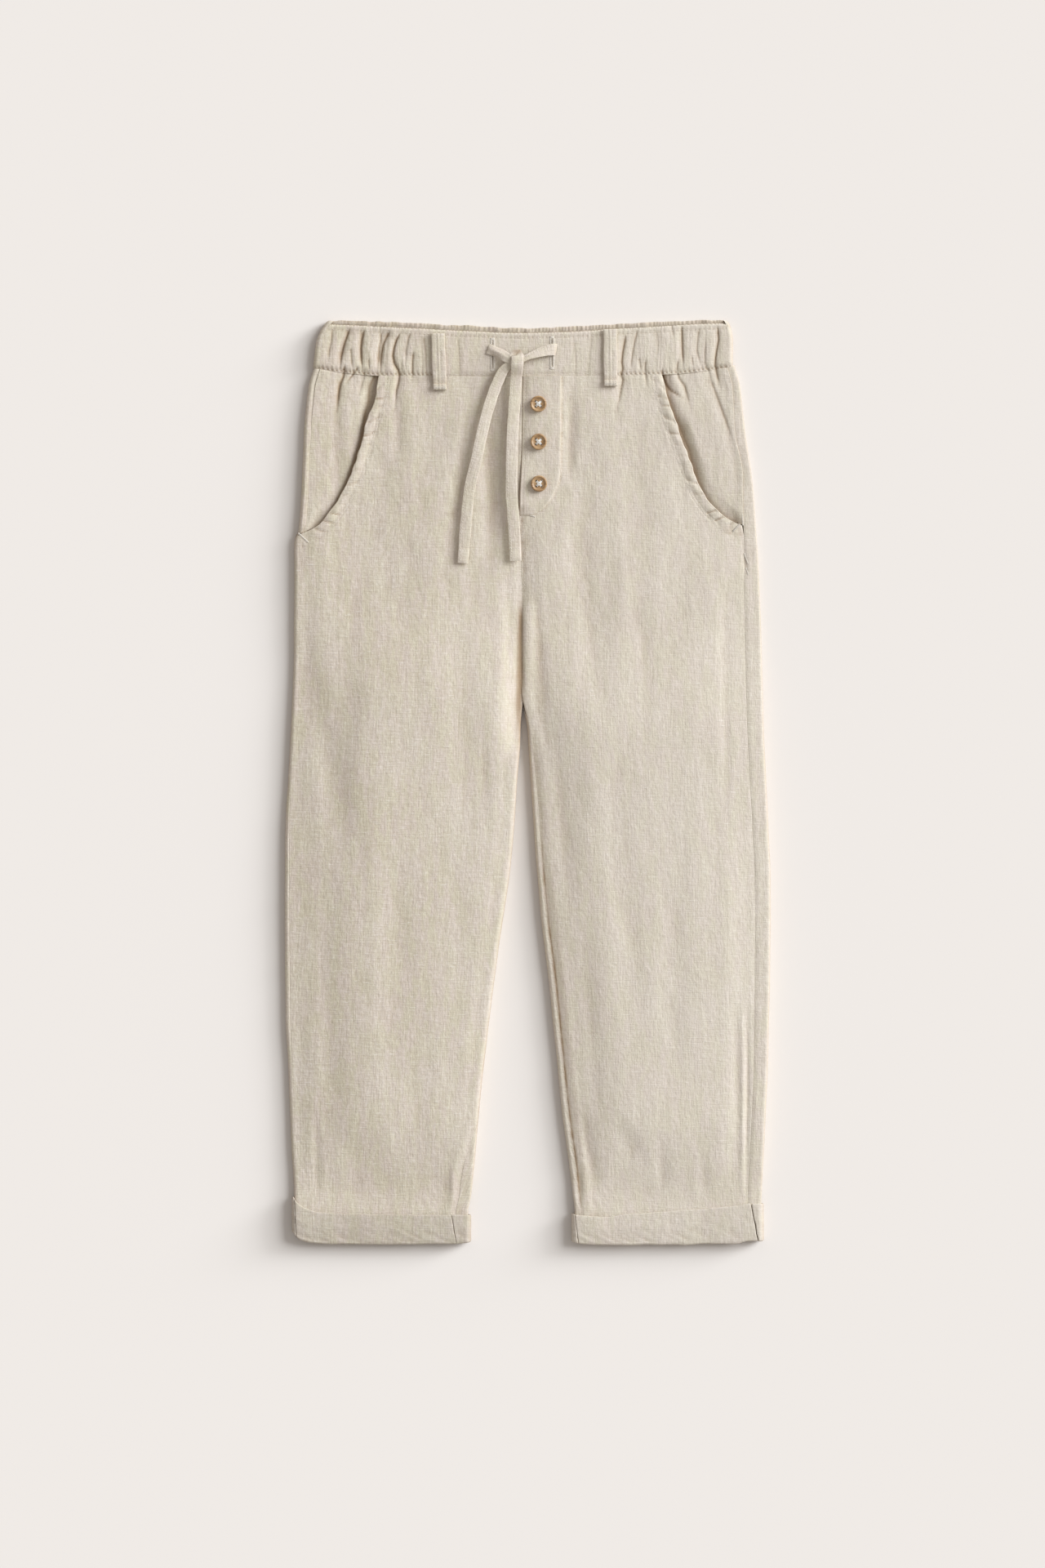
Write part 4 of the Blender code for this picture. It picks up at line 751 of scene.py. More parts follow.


def painted_fold_shade(points):
    """Painted shade in the fold at the crotch, along the left inseam and over the turn-ups."""
    x, y, z = points[..., 0], points[..., 1], points[..., 2]
    uneven = 0.6 + 0.4 * ripples(x, y, 6.0, 5.0, 101)
    beside_seam = x - inseam(SIDES["left"], y)
    seam = INSEAM_SHADE.tone * bell(beside_seam - INSEAM_SHADE.offset, INSEAM_SHADE.width)
    ridge = RIDGE_SHADE.tone * bell(beside_seam - RIDGE_SHADE.offset, RIDGE_SHADE.width)
    start, end = INSEAM_SHADE_Y
    along = (seam * uneven + ridge * smooth(uneven)) * ramp(y, *start) * ramp(y, *end)
    past = x - np.interp(-y, [-spot.y for spot in CROTCH_FOLD], [spot.x for spot in CROTCH_FOLD])
    fold = CROTCH_FOLD_SHADE * np.where(past < 0.0, *(bell(past, width) for width in FOLD_WIDTHS))
    fainter, none = FOLD_FADES
    fold = fold * ramp(y, 128.0, 112.0) * (1.0 - 0.9 * ramp(y, *fainter)) * ramp(y, *none)
    over_cuff = 0.0
    for cuff, place, reach in CUFF_TOP_SHADE:
        above = y - SIDES[cuff].hem_top(x)
        shade = bell(x - place, reach) * np.exp(-np.clip(above, 0.0, 40.0) / 4.0)
        over_cuff = over_cuff + 0.4 * shade * (above > 0.0)
    return (np.where(y < 0.0, along, 0.0) + fold + over_cuff) * ramp(z, 1.5, 3.0)


def closed_mesh(name, outside, inside, uv, look, extra_painted_shade=0.0):
    """A closed shell from two grids of points in millimetres, with the cloth's own coordinates."""
    rows, columns = outside.shape[:2]
    points = np.concatenate([outside.reshape(-1, 3), inside.reshape(-1, 3)]) * MM
    points[:, 2] = np.maximum(points[:, 2], 0.0)
    index = np.arange(rows * columns).reshape(rows, columns)
    a, b, c, d = index[:-1, :-1], index[:-1, 1:], index[1:, 1:], index[1:, :-1]
    face = np.stack([a, b, c, d], axis=-1).reshape(-1, 4)
    rim = np.concatenate([index[0, :-1], index[:-1, -1], index[-1, :0:-1], index[:0:-1, 0]])
    after = np.roll(rim, -1)
    far = rows * columns
    wall = np.stack([rim, rim + far, after + far, after], axis=-1)
    faces = np.concatenate([face, face[:, ::-1] + far, wall])
    middle = index[rows // 2, columns // 2]
    across, up = points[middle + 1] - points[middle], points[middle + columns] - points[middle]
    if np.dot(np.cross(across, up), points[middle] - points[middle + far]) < 0:
        faces = faces[:, ::-1]
    data = bpy.data.meshes.new(name)
    data.vertices.add(len(points))
    data.vertices.foreach_set("co", points.ravel())
    data.loops.add(faces.size)
    data.loops.foreach_set("vertex_index", faces.ravel().astype(np.int32))
    data.polygons.add(len(faces))
    data.polygons.foreach_set("loop_start", np.arange(0, faces.size, 4, dtype=np.int32))
    data.update(calc_edges=True)
    ends = np.empty(2 * len(data.edges), np.int32)
    data.edges.foreach_get("vertices", ends)
    ends = np.sort(ends.reshape(-1, 2).astype(np.int64), axis=1) @ (len(points), 1)
    rims = np.concatenate([np.stack([rim, after], axis=1), np.stack([rim, after], axis=1) + far])
    crisp = data.attributes.new("sharp_edge", "BOOLEAN", "EDGE")
    crisp.data.foreach_set("value", np.isin(ends, np.sort(rims, axis=1) @ (len(points), 1)))
    # The hollow attribute holds each point's painted shade, from its folds, edges and seams and any extra
    # painted shade.
    hollow = data.attributes.new("hollow", "FLOAT", "POINT")
    shaded = np.clip(painted_shade_amount(outside) + painted_fold_shade(outside) + extra_painted_shade, 0.0, DEEPEST)
    hollow.data.foreach_set("value", np.tile(shaded.ravel(), 2))
    layer = data.uv_layers.new(name="weave")
    flat = uv.reshape(-1, 2) * MM
    layer.uv.foreach_set("vector", np.concatenate([flat, flat])[faces.ravel()].astype(np.float32).ravel())
    data.shade_smooth()
    return add_piece(name, data, look)


def add_piece(name, data, look):
    data.materials.append(look)
    made = bpy.data.objects.new(name, data)
    bpy.context.scene.collection.objects.link(made)
    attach(made, "root")
    return made


def clothe(name, grids, look, node, extra_painted_shade=0.0):
    """A cloth piece from its outer grid, inner grid and weave coordinates, which stands for one solid."""
    piece = closed_mesh(f"linen_{name}", *(np.array(grid) for grid in grids), look, extra_painted_shade)
    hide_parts(node)
    return piece


def stops_between(begin, end, count, roll_begin=True, roll_end=True, spread=None):
    """Columns from begin to end for each row, close together beside a rounded edge. spread moves the
    others, given and giving shares of the way."""
    width = np.abs(end - begin)
    first = np.array(ROLL_STOPS if roll_begin else ROLL_STOPS[:1])
    last = np.array(ROLL_STOPS if roll_end else ROLL_STOPS[:1])
    inner = np.arange(1, count) / count
    inner = inner if spread is None else spread(inner)
    runs = [np.broadcast_to(stop, width.shape) for stop in first]
    runs += [mix(first[-1], width - last[-1], share) for share in inner]
    runs += [width - stop for stop in last[::-1]]
    runs = np.stack(runs, axis=1)
    way = np.sign(end - begin)[:, None]
    return begin[:, None] + way * runs, np.minimum(runs, width[:, None] - runs)


def joined(*columns):
    return np.stack(np.broadcast_arrays(*columns), axis=-1).astype(float)


# ---------------------------------------------------------------- looks

LINEN_PALE = (0.795, 0.735, 0.652)
LINEN_PINK = (0.722, 0.628, 0.566)
LINEN_GREEN = (0.682, 0.634, 0.483)
LINEN_DARK = (0.515, 0.435, 0.335)
# colour of the painted shade in folds, at turned edges and beside seams
PAINTED_SHADE_TONE = (0.33, 0.225, 0.135)
PITCH = 0.52  # distance between threads of the weave


class Nodes:
    """Short ways to add and link the nodes of one material."""

    def __init__(self, name, slot):
        self.material = bpy.data.materials.new(name)
        self.material.use_nodes = True
        self.material["slot"] = slot
        self.tree = self.material.node_tree
        self.shader = self.tree.nodes["Principled BSDF"]

    def add(self, kind, inputs=(), output=0, **settings):
        node = self.tree.nodes.new(kind)
        for key, value in settings.items():
            setattr(node, key, value)
        for slot, value in dict(inputs).items():
            self.put(node.inputs[slot], value)
        return node.outputs[output]

    def put(self, socket, value):
        if isinstance(value, bpy.types.NodeSocket):
            self.tree.links.new(value, socket)
        else:
            socket.default_value = value

    def math(self, operation, a, b=0.0, clamp=False):
        return self.add("ShaderNodeMath", {0: a, 1: b}, operation=operation, use_clamp=clamp)

    def stretched(self, vector, across, along):
        """Coordinates whose unit is across by along millimetres."""
        scale = (1000.0 / across, 1000.0 / along, 1000.0 / across)
        return self.add("ShaderNodeVectorMath", {0: vector, 1: scale}, operation="MULTIPLY")

    def noise(self, vector, detail=2.0, rough=0.5):
        inputs = {"Vector": vector, "Scale": 1.0, "Detail": detail, "Roughness": rough}
        return self.add("ShaderNodeTexNoise", inputs)

    def ranged(self, value, low, high, to_low=0.0, to_high=1.0):
        inputs = {"Value": value, "From Min": low, "From Max": high, "To Min": to_low, "To Max": to_high}
        return self.add("ShaderNodeMapRange", inputs, interpolation_type="SMOOTHSTEP")

    def blend(self, factor, a, b, how="MIX"):
        node = self.tree.nodes.new("ShaderNodeMix")
        node.data_type = "RGBA"
        node.blend_type = how
        self.put(node.inputs[0], factor)
        self.put(node.inputs[6], a if isinstance(a, bpy.types.NodeSocket) else (*a, 1.0))
        self.put(node.inputs[7], b if isinstance(b, bpy.types.NodeSocket) else (*b, 1.0))
        return node.outputs[2]

    def bump(self, height):
        """Height in millimetres to a normal."""
        return self.add("ShaderNodeBump", {"Height": height, "Strength": 1.0, "Distance": MM})


def linen(name, slot, bright=1.0):
    """Plain-weave linen: threads, slubs, streaks of uneven yarn, a mottled tone, and painted light and shade.
    """
    n = Nodes(name, slot)
    weave = n.add("ShaderNodeUVMap", uv_map="weave")
    drift = n.noise(n.stretched(weave, 9.0, 9.0), 1.0)
    vector = n.add("ShaderNodeVectorMath", {0: drift, 1: (0.0009, 0.0009, 0.0)}, operation="MULTIPLY")
    thread_at = n.add("ShaderNodeVectorMath", {0: weave, 1: vector}, operation="ADD")
    half_turns = (1000.0 * math.pi / PITCH,) * 3
    turned = n.add("ShaderNodeVectorMath", {0: thread_at, 1: half_turns}, operation="MULTIPLY")
    split = n.tree.nodes.new("ShaderNodeSeparateXYZ")
    n.put(split.inputs[0], turned)
    wave_u, wave_v = n.math("SINE", split.outputs[0]), n.math("SINE", split.outputs[1])
    cell = n.math("MULTIPLY", wave_u, wave_v)
    pillow = n.math("POWER", n.math("ABSOLUTE", cell), 0.6)
    parity = n.ranged(cell, -0.4, 0.4)

    slub = n.noise(n.stretched(weave, 8.0, 0.8), 2.0, 0.6)  # weft yarn, thick and thin
    bright_slub = n.ranged(slub, 0.60, 0.74)
    warp = n.noise(n.stretched(weave, 1.05, 13.0), 2.0, 0.6)
    weft = n.noise(n.stretched(weave, 12.0, 1.25), 2.0, 0.6)
    streak = n.noise(n.stretched(weave, 3.4, 90.0), 3.0, 0.6)
    fleck = n.noise(n.stretched(weave, 1.9, 2.6), 3.0, 0.65)
    mottle = n.noise(n.stretched(weave, 8.0, 24.0), 4.0, 0.62)
    cloud = n.noise(n.stretched(weave, 40.0, 60.0), 2.0)

    tone = n.blend(n.ranged(mottle, 0.40, 0.60), LINEN_GREEN, LINEN_PINK)
    tone = n.blend(n.ranged(cloud, 0.35, 0.68, 0.0, 0.5), tone, LINEN_PALE)
    tone = n.blend(n.ranged(warp, 0.32, 0.60, 0.38, 0.0), tone, LINEN_DARK)
    tone = n.blend(n.ranged(weft, 0.32, 0.60, 0.34, 0.0), tone, LINEN_DARK)
    tone = n.blend(n.ranged(streak, 0.34, 0.62, 0.22, 0.0), tone, LINEN_DARK)
    tone = n.blend(n.ranged(fleck, 0.30, 0.70, 0.30, 0.0), tone, LINEN_DARK)
    tone = n.blend(n.ranged(fleck, 0.52, 0.75, 0.0, 0.45), tone, LINEN_PALE)
    tone = n.blend(n.math("MULTIPLY", parity, 0.10), tone, LINEN_PALE)
    tone = n.blend(n.math("MULTIPLY", bright_slub, 0.6), tone, (0.84, 0.80, 0.73))
    # painted shade in the gaps between the threads
    tone = n.blend(n.ranged(pillow, 0.0, 0.55, 0.08, 0.0), tone, LINEN_DARK)
    # Painted light and shade: paler toward +X, the side the key light comes from, and darker toward the
    # waist.
    place = n.tree.nodes.new("ShaderNodeSeparateXYZ")
    n.put(place.inputs[0], n.add("ShaderNodeTexCoord", output=3))
    tone = n.blend(n.ranged(place.outputs[0], -0.12, 0.09, 0.0, 0.32), tone, LINEN_PALE)
    tone = n.blend(n.ranged(place.outputs[1], -0.06, 0.26, 0.0, 0.09), tone, LINEN_DARK)
    # painted shade from the hollow attribute
    hollow = n.add("ShaderNodeAttribute", output=2, attribute_name="hollow")
    tone = n.blend(n.math("MULTIPLY", hollow, 0.72), tone, PAINTED_SHADE_TONE)
    if bright != 1.0:
        tone = n.blend(1.0, tone, (bright, bright, bright), "MULTIPLY")
    n.put(n.shader.inputs["Base Color"], tone)

    crumple = n.noise(n.stretched(weave, 3.0, 4.4), 3.0, 0.6)
    height = n.math("MULTIPLY", pillow, 0.035)
    height = n.math("ADD", height, n.math("MULTIPLY", slub, 0.22))
    height = n.math("ADD", height, n.math("MULTIPLY", warp, 0.18))
    height = n.math("ADD", height, n.math("MULTIPLY", crumple, 0.38))
    n.put(n.shader.inputs["Normal"], n.bump(height))
    n.put(n.shader.inputs["Roughness"], n.ranged(slub, 0.3, 0.7, 0.94, 0.82))
    n.shader.inputs["Sheen Weight"].default_value = 0.12
    n.shader.inputs["Sheen Roughness"].default_value = 0.5
    n.shader.inputs["Specular IOR Level"].default_value = 0.25
    return n.material


def thread_look(name, colour):
    """Twisted sewing thread."""
    n = Nodes(name, "thread")
    place = n.add("ShaderNodeTexCoord", output=3)
    ply = n.noise(n.stretched(place, 0.35, 0.35), 2.0, 0.6)
    shade = tuple(0.72 * c for c in colour)
    n.put(n.shader.inputs["Base Color"], n.blend(n.ranged(ply, 0.35, 0.62), shade, colour))
    n.put(n.shader.inputs["Normal"], n.bump(n.math("MULTIPLY", ply, 0.08)))
    n.shader.inputs["Roughness"].default_value = 0.7
    n.shader.inputs["Sheen Weight"].default_value = 0.15
    return n.material


def wood_look():
    """Turned light wood, with fine grain, pores and a thin clear coat."""
    n = Nodes("button_wood", "button_wood")
    place = n.add("ShaderNodeTexCoord", output=3)
    grain = n.noise(n.stretched(place, 4.5, 0.55), 4.0, 0.65)
    pores = n.noise(n.stretched(place, 1.6, 0.22), 2.0, 0.5)
    cloud = n.noise(n.stretched(place, 5.0, 5.0), 2.0)
    tone = n.blend(n.ranged(grain, 0.34, 0.66), (0.27, 0.145, 0.06), (0.50, 0.315, 0.155))
    tone = n.blend(n.ranged(cloud, 0.35, 0.7, 0.0, 0.45), tone, (0.56, 0.38, 0.20))
    tone = n.blend(n.ranged(pores, 0.30, 0.46, 0.5, 0.0), tone, (0.16, 0.085, 0.04))
    n.put(n.shader.inputs["Base Color"], tone)
    n.put(n.shader.inputs["Roughness"], n.ranged(grain, 0.3, 0.7, 0.55, 0.38))
    n.put(n.shader.inputs["Normal"], n.bump(n.math("MULTIPLY", pores, 0.05)))
    n.shader.inputs["Coat Weight"].default_value = 0.12
    n.shader.inputs["Coat Roughness"].default_value = 0.3
    return n.material


# ---------------------------------------------------------------- camera and light

PIXEL = 0.56  # millimetres of the garment for each pixel of a 1280 x 1920 frame
FRAME_PIXELS = (1280, 1920)
FRAME_CENTRE = (-3.6, -0.3)
CAMERA_HEIGHT = 3.4
GARMENT_MIDDLE = 0.005  # height at which the frame has its scale, in metres as the camera's height is
SENSOR = 0.036
FLOOR_COLOUR = (0.7303, 0.6909, 0.6575)
FLOOR_REACH = 6.0
FLOOR_DROP = 0.0002  # so that it doesn't coincide with the cloth's underside
Lamp = namedtuple("Lamp", "name elevation turn size share")  # degrees, turn from +X toward +Y
KEY = Lamp("key", 25.0, 26.0, 40.0, 0.56)  # share is of the light that reaches level cloth
RAKING = Lamp("raking", 11.0, 24.0, 18.0, 0.2)  # lights the floor alone, for its long soft shadow
KEY_COLOUR = (0.965, 1.0, 1.035)
FILL_COLOUR = (1.044, 1.0, 0.956)  # light comes back warmer out of folds and shadows


def make_camera():
    data = bpy.data.cameras.new("camera")
    data.sensor_fit = "VERTICAL"
    data.sensor_height = SENSOR * 1000
    reach = CAMERA_HEIGHT - GARMENT_MIDDLE
    data.lens = data.sensor_height * reach / (FRAME_PIXELS[1] * PIXEL * MM)
    data.clip_end = 10.0
    made = bpy.data.objects.new("camera", data)
    made.location = (FRAME_CENTRE[0] * MM, FRAME_CENTRE[1] * MM, CAMERA_HEIGHT)
    bpy.context.scene.collection.objects.link(made)
    bpy.context.scene.camera = made


def make_stage():
    """A pale floor, broad low light from the upper right and an even fill."""
    data = bpy.data.meshes.new("floor")
    corners = [(x * FLOOR_REACH, y * FLOOR_REACH, 0) for x, y in ((-1, -1), (1, -1), (1, 1), (-1, 1))]
    data.from_pydata(corners, [], [(0, 1, 2, 3)])
    n = Nodes("floor_paper", "floor")
    n.shader.inputs["Base Color"].default_value = (*FLOOR_COLOUR, 1.0)
    n.shader.inputs["Roughness"].default_value = 0.95
    n.shader.inputs["Specular IOR Level"].default_value = 0.0
    data.materials.append(n.material)
    floor = bpy.data.objects.new("floor", data)
    floor.location = (0.0, 0.0, -FLOOR_DROP)
    bpy.context.scene.collection.objects.link(floor)
    floor_alone = bpy.data.collections.new("floor_alone")
    floor_alone.objects.link(floor)
    for lamp in (KEY, RAKING):
        data = bpy.data.lights.new(lamp.name, "SUN")
        data.angle = math.radians(lamp.size)
        data.energy = math.pi * lamp.share / math.sin(math.radians(lamp.elevation))
        data.color = KEY_COLOUR
        made = bpy.data.objects.new(lamp.name, data)
        up, turn = math.radians(lamp.elevation), math.radians(lamp.turn)
        toward = Vector((math.cos(up) * math.cos(turn), math.cos(up) * math.sin(turn), math.sin(up)))
        made.rotation_euler = toward.to_track_quat("Z", "Y").to_euler()
        bpy.context.scene.collection.objects.link(made)
        if lamp is RAKING:
            made.light_linking.receiver_collection = floor_alone
    world = bpy.data.worlds.new("fill")
    world.use_nodes = True
    world.node_tree.nodes["Background"].inputs["Color"].default_value = (*FILL_COLOUR, 1.0)
    world.node_tree.nodes["Background"].inputs["Strength"].default_value = 1.0 - KEY.share
    bpy.context.scene.world = world
    bpy.context.scene.view_settings.view_transform = "Standard"


# ---------------------------------------------------------------- leg panels


STRIP = 7.0  # width of the cloth between a pocket's edge and its stitches
DIMPLE = 8.5  # spacing of the puckers in that strip


STRIP_LIFT_REACH = 7.0
STRIP_PUFF = 0.34
DIMPLE_DEPTH = 0.6
DIMPLE_WIDTH = 0.13  # as a share of their spacing
DIMPLE_SLANT = 0.07  # spacings for each millimetre inward
STRIP_FOOT_Y = (168.0, 174.0)  # levels where the relief starts and is full


def pocket_strip(side, across, y):
    """Relief beside a pocket's opening: a lifted, puffed strip with slanting puckers."""
    inset, run = away(across, y, side.opening)
    middle = np.sin(math.pi * np.clip(run / side.opening_length, 0.0, 1.0)) ** 0.6
    lifted = POCKET_LIFT * middle * bell(inset, STRIP_LIFT_REACH)
    puffed = STRIP_PUFF * bell(inset - 0.45 * STRIP, 0.32 * STRIP)
    turn = run / DIMPLE + DIMPLE_SLANT * inset + 0.7 * waves(run, 13.0, 75)
    dimple = DIMPLE_DEPTH * bell(turn - np.round(turn), DIMPLE_WIDTH)
    dimple = dimple * smooth(inset) * smooth((STRIP + 1.5 - inset) / 3.0)
    strength = 0.6 + 0.6 * waves(run, 7.0, 77)
    return (lifted + (puffed - dimple * strength) * smooth(middle * 2.0)) * ramp(y, *STRIP_FOOT_Y)


POCKET_FOOT_Y = 166.0  # pockets' relief lies above it
RIDGE_PLACE, RIDGE_WIDTH = 5.0, 3.0  # seam allowances' ridge beside the centre seam and inseams
RIDGE_Y = (170.0, 150.0)  # it fades in below the fly's foot
VALLEY_Y = (200.0, 190.0)


def panel_top(side, across, y):
    """Outer face of a front, with its stitched rows and the lifted edge of its pocket."""
    height = front_height(side, across, y) - row_depth(side.sign * across, y, PANEL_ROWS)
    near = y > POCKET_FOOT_Y
    if np.any(near):
        height[near] += pocket_strip(side, across[near], y[near])
    beside_centre = across - inseam(side, y)
    ridge = ramp(y, *RIDGE_Y) * bell(beside_centre - RIDGE_PLACE, RIDGE_WIDTH)
    valley = SEAM_DEPTH * bell(beside_centre, SEAM_WIDTH) * ramp(y, *VALLEY_Y)
    return height + CENTRE_RIDGE * ridge - valley


POCKET_ROW_COUNT = 92  # rows of a front that end on its pocket's edge
FRONT_COLUMNS = 132
FAN_FOOT_Y = 194.0  # level at the centre seam of the last of those rows
LEG_TOP_Y = 192.6  # and of the first row below them
EDGE_WAVE = 0.75  # how far a pocket's edge waves
WAVE_LENGTH = 5.5
WAVE_FADE = 15.0  # toward both ends of the opening
LAP_FULL_Y = ((82.0, 72.0), (20.0, 32.0))  # levels between which CROTCH_LAP comes in, and fades again


def front_rows(side):
    """For each row of a front: its outer end, that end's level, and its level at the centre."""
    count = POCKET_ROW_COUNT
    run = side.opening_length * np.arange(count) / count
    wave = EDGE_WAVE * waves(run, WAVE_LENGTH, 79)
    wave = wave * smooth(run / WAVE_FADE) * smooth((run[-1] - run) / WAVE_FADE)
    centre_y = mix(WAIST_Y, FAN_FOOT_Y, np.arange(count) / count)
    low = np.arange(LEG_TOP_Y, LAST_ROW_Y - 1.0, -LEG_ROW)
    low = np.append(low[low > LAST_ROW_Y], LAST_ROW_Y)
    levels = sorted((level.centre, level.side) for level in LEVELS)
    low_side = np.interp(low, *zip(*levels))
    edge = np.concatenate([side.opening_across(run) + wave, side_seam(side, low_side) - SEAM_HALF])
    edge_y = np.concatenate([side.opening_y(run), low_side])
    return edge, edge_y, np.concatenate([centre_y, low])


def fine_outside(share):
    """Brings columns closer together toward a front's outer edge, where its pleats are."""
    return share * (0.45 + 0.9 * share - 0.35 * share**2)


def tucked(across, level, x):
    """Adds rows that carry a grid's first row under the waistband, and says how far each row is sunk."""
    rows = [waist_seam(x[0]) + above for above, _ in TUCK]
    level = np.concatenate([np.array(rows), level[1:]])
    across = np.concatenate([np.repeat(across[:1], len(TUCK), axis=0), across[1:]])
    sunk = np.zeros(level.shape)
    for n, (_, drop) in enumerate(TUCK):
        sunk[n] = drop
    return across, level, sunk


def front_grids(side):
    """A front: rows fan out from the centre seam to the pocket's edge, and lie level below it."""
    edge, edge_y, centre_y = front_rows(side)
    start, end = LAP_FULL_Y
    lapped = CROTCH_LAP * ramp(centre_y, *start) * ramp(centre_y, *end)
    end = inseam(side, centre_y) + SEAM_HALF - lapped
    across, inward = stops_between(edge, end, FRONT_COLUMNS, spread=fine_outside)
    share = (across - edge[:, None]) / (end - edge)[:, None]
    y = mix(edge_y[:, None], centre_y[:, None], share)
    # a seam's place depends on the level, which changes along a row
    below = (np.arange(len(edge)) >= POCKET_ROW_COUNT)[:, None]
    moved = np.where(below, mix(side_seam(side, y) - side_seam(side, edge_y)[:, None], 0.0, share), 0.0)
    moved += mix(0.0, inseam(side, y) - inseam(side, centre_y)[:, None], share)
    across = across + moved
    level = np.where(below, levelled(side, across, y), y)
    across, level, sunk = tucked(across, level, side.sign * across)
    below, inward = (np.concatenate([grid[:1]] * (len(TUCK) - 1) + [grid]) for grid in (below, inward))
    top = panel_top(side, held_across(side, across, level), level) - sunk
    wall = np.where(below, SHELL, HEMMED)
    edge_roll = rolled(inward, np.where(below, SEAM_ROLL, HEMMED / 2))
    outside = over(side, across, level, edge_roll, top)
    inside = over(side, across, level, wall - np.minimum(edge_roll, 0.45 * wall), top)
    grids = [wander(joined(side.sign * spot, level, height)) for spot, height in (outside, inside)]
    uv = joined(side.sign * (across - 0.6 * leg_middle(side, level)), level)
    return grids[0], grids[1], uv


def leg_middle(side, y):
    return (side.inner(y) + side.outer(y)) / 2


def under_relief(x, y):
    """Soft creases on the side that lies on the floor, each lifting the cloth a little."""
    uneven = 0.22 * ripples(x, y, 26.0, 90.0, 81) + 0.12 * ripples(x, y, 9.0, 34.0, 83)
    return np.clip(uneven, 0.0, 0.5)


def back_top(side, across, y):
    beside_seam = across - side_seam(side, y)
    ridge = 0.08 * bell(beside_seam - 3.0, 2.2) * smooth(beside_seam / 1.5)
    return front_height(side, across, y) + ridge


BACK_PITCH = 2.6  # of its rows down the leg
PLAIN_END = 5.0  # flat cloth beside the centre seam, where the sides are one body
SIDE_COLUMNS, FLAT_COLUMNS, INNER_COLUMNS = 22, 56, 16  # round the outer edge, on the floor, and up inside


def back_grids(side):
    """A back: from the side seam round the outer edge, along the floor, and up round the inner edge."""
    down = np.arange(WAIST_Y - 2.0, LAST_ROW_Y, -BACK_PITCH)
    y = np.concatenate([[WAIST_Y] * len(TUCK), down, [LAST_ROW_Y]])
    radius, lifted, closed = leg_radius(y)[:, None], lift(y)[:, None], side.closed(y)[:, None]
    seam, start = side_seam(side, y) + SEAM_HALF, side.outer(y) - leg_radius(y)
    across, _ = stops_between(seam, start + math.pi * leg_radius(y), SIDE_COLUMNS, True, False)
    begin = inner_begin(side, y)[:, None]
    plain = (1.0 - closed) * PLAIN_END
    turn = closed * (math.pi - inner_angle(side, y)[:, None])
    beyond = closed * np.maximum(0.0, side.inner_wrap(y)[:, None] - radius)
    length = plain + radius * turn + beyond - SEAM_HALF * closed
    flat_share = np.arange(1, FLAT_COLUMNS) / FLAT_COLUMNS
    run, _ = stops_between(np.zeros(len(y)), length[:, 0], INNER_COLUMNS, False, True)
    y2, seam2, start2 = y[:, None], seam[:, None], start[:, None]
    top_spot = begin + run - (plain + radius * turn)
    angle = (run - plain) / radius
    on_top = (angle > turn) & (beyond > 0.0)
    flat_spot = mix(start2, begin + plain, flat_share)
    held = held_across(side, across, y2)
    outer_top = back_top(side, held, y2)
    inner_top = front_height(side, np.broadcast_to(begin, run.shape), y2)
    flat_top = front_height(side, np.maximum(top_spot, begin), y2)
    tuck = np.zeros(len(y))
    tuck[:len(TUCK)] = [drop for _, drop in TUCK]
    grids = []
    for depth in (0.0, SHELL):
        pinch = SEAM_ROLL * np.clip(1.0 - np.abs(across - seam2) / ROLL, 0.0, 1.0) ** 2
        spot_a, height_a = over(side, across, y2, depth + pinch * (1.0 if depth == 0.0 else -1.0), outer_top)
        reach = radius - depth
        out, down = folded(np.maximum(angle, 0.0), side.sign < 0)
        turned = lifted + radius - reach * down
        turned = turned + (inner_top - lifted - 2 * radius) * np.clip(-down, 0.0, 1.0)
        spot_c = np.where(angle <= 0.0, begin + plain - run, begin - reach * out)
        height_c = np.where(angle <= 0.0, lifted + depth, turned)
        spot_c = np.where(on_top, top_spot, spot_c)
        height_c = np.where(on_top, flat_top - depth, height_c)
        from_seam = length - run
        hollow = closed * SEAM_DEPTH * bell(from_seam, SEAM_WIDTH)
        height_c = height_c - hollow * np.clip(-down, 0.0, 1.0)
        spot = np.concatenate([spot_a, flat_spot, spot_c], axis=1)
        flat_height = np.broadcast_to(lifted + depth, flat_spot.shape)
        height = np.concatenate([height_a, flat_height, height_c], axis=1)
        facing_down = np.zeros_like(spot)
        flat_columns = slice(across.shape[1], across.shape[1] + len(flat_share))
        facing_down[:, flat_columns] = np.sin(math.pi * flat_share) ** 0.3
        level = levelled(side, spot, y2)
        for n, (above, _) in enumerate(TUCK):
            level[n] = waist_seam(side.sign * spot[n]) + above
        middle = lifted + radius
        height = height + under_relief(side.sign * spot, level) * facing_down
        height = height + np.where(height > middle, -1.0, 1.0) * tuck[:, None] * 0.8
        grids.append(wander(joined(side.sign * spot, level, height)))
    flat_run = start2 - flat_spot
    under = start2 + math.pi * radius
    u = np.concatenate([across, under + flat_run, under + flat_run[:, -1:] + run], axis=1)
    uv = joined(side.sign * u + 260.0, level)
    return grids[0], grids[1], uv


# ---------------------------------------------------------------- pocket bearers


def pocket_edge(side, y):
    levels = [spot[1] for spot in side.opening][::-1]
    places = [spot[0] for spot in side.opening][::-1]
    return np.interp(y, levels, places)


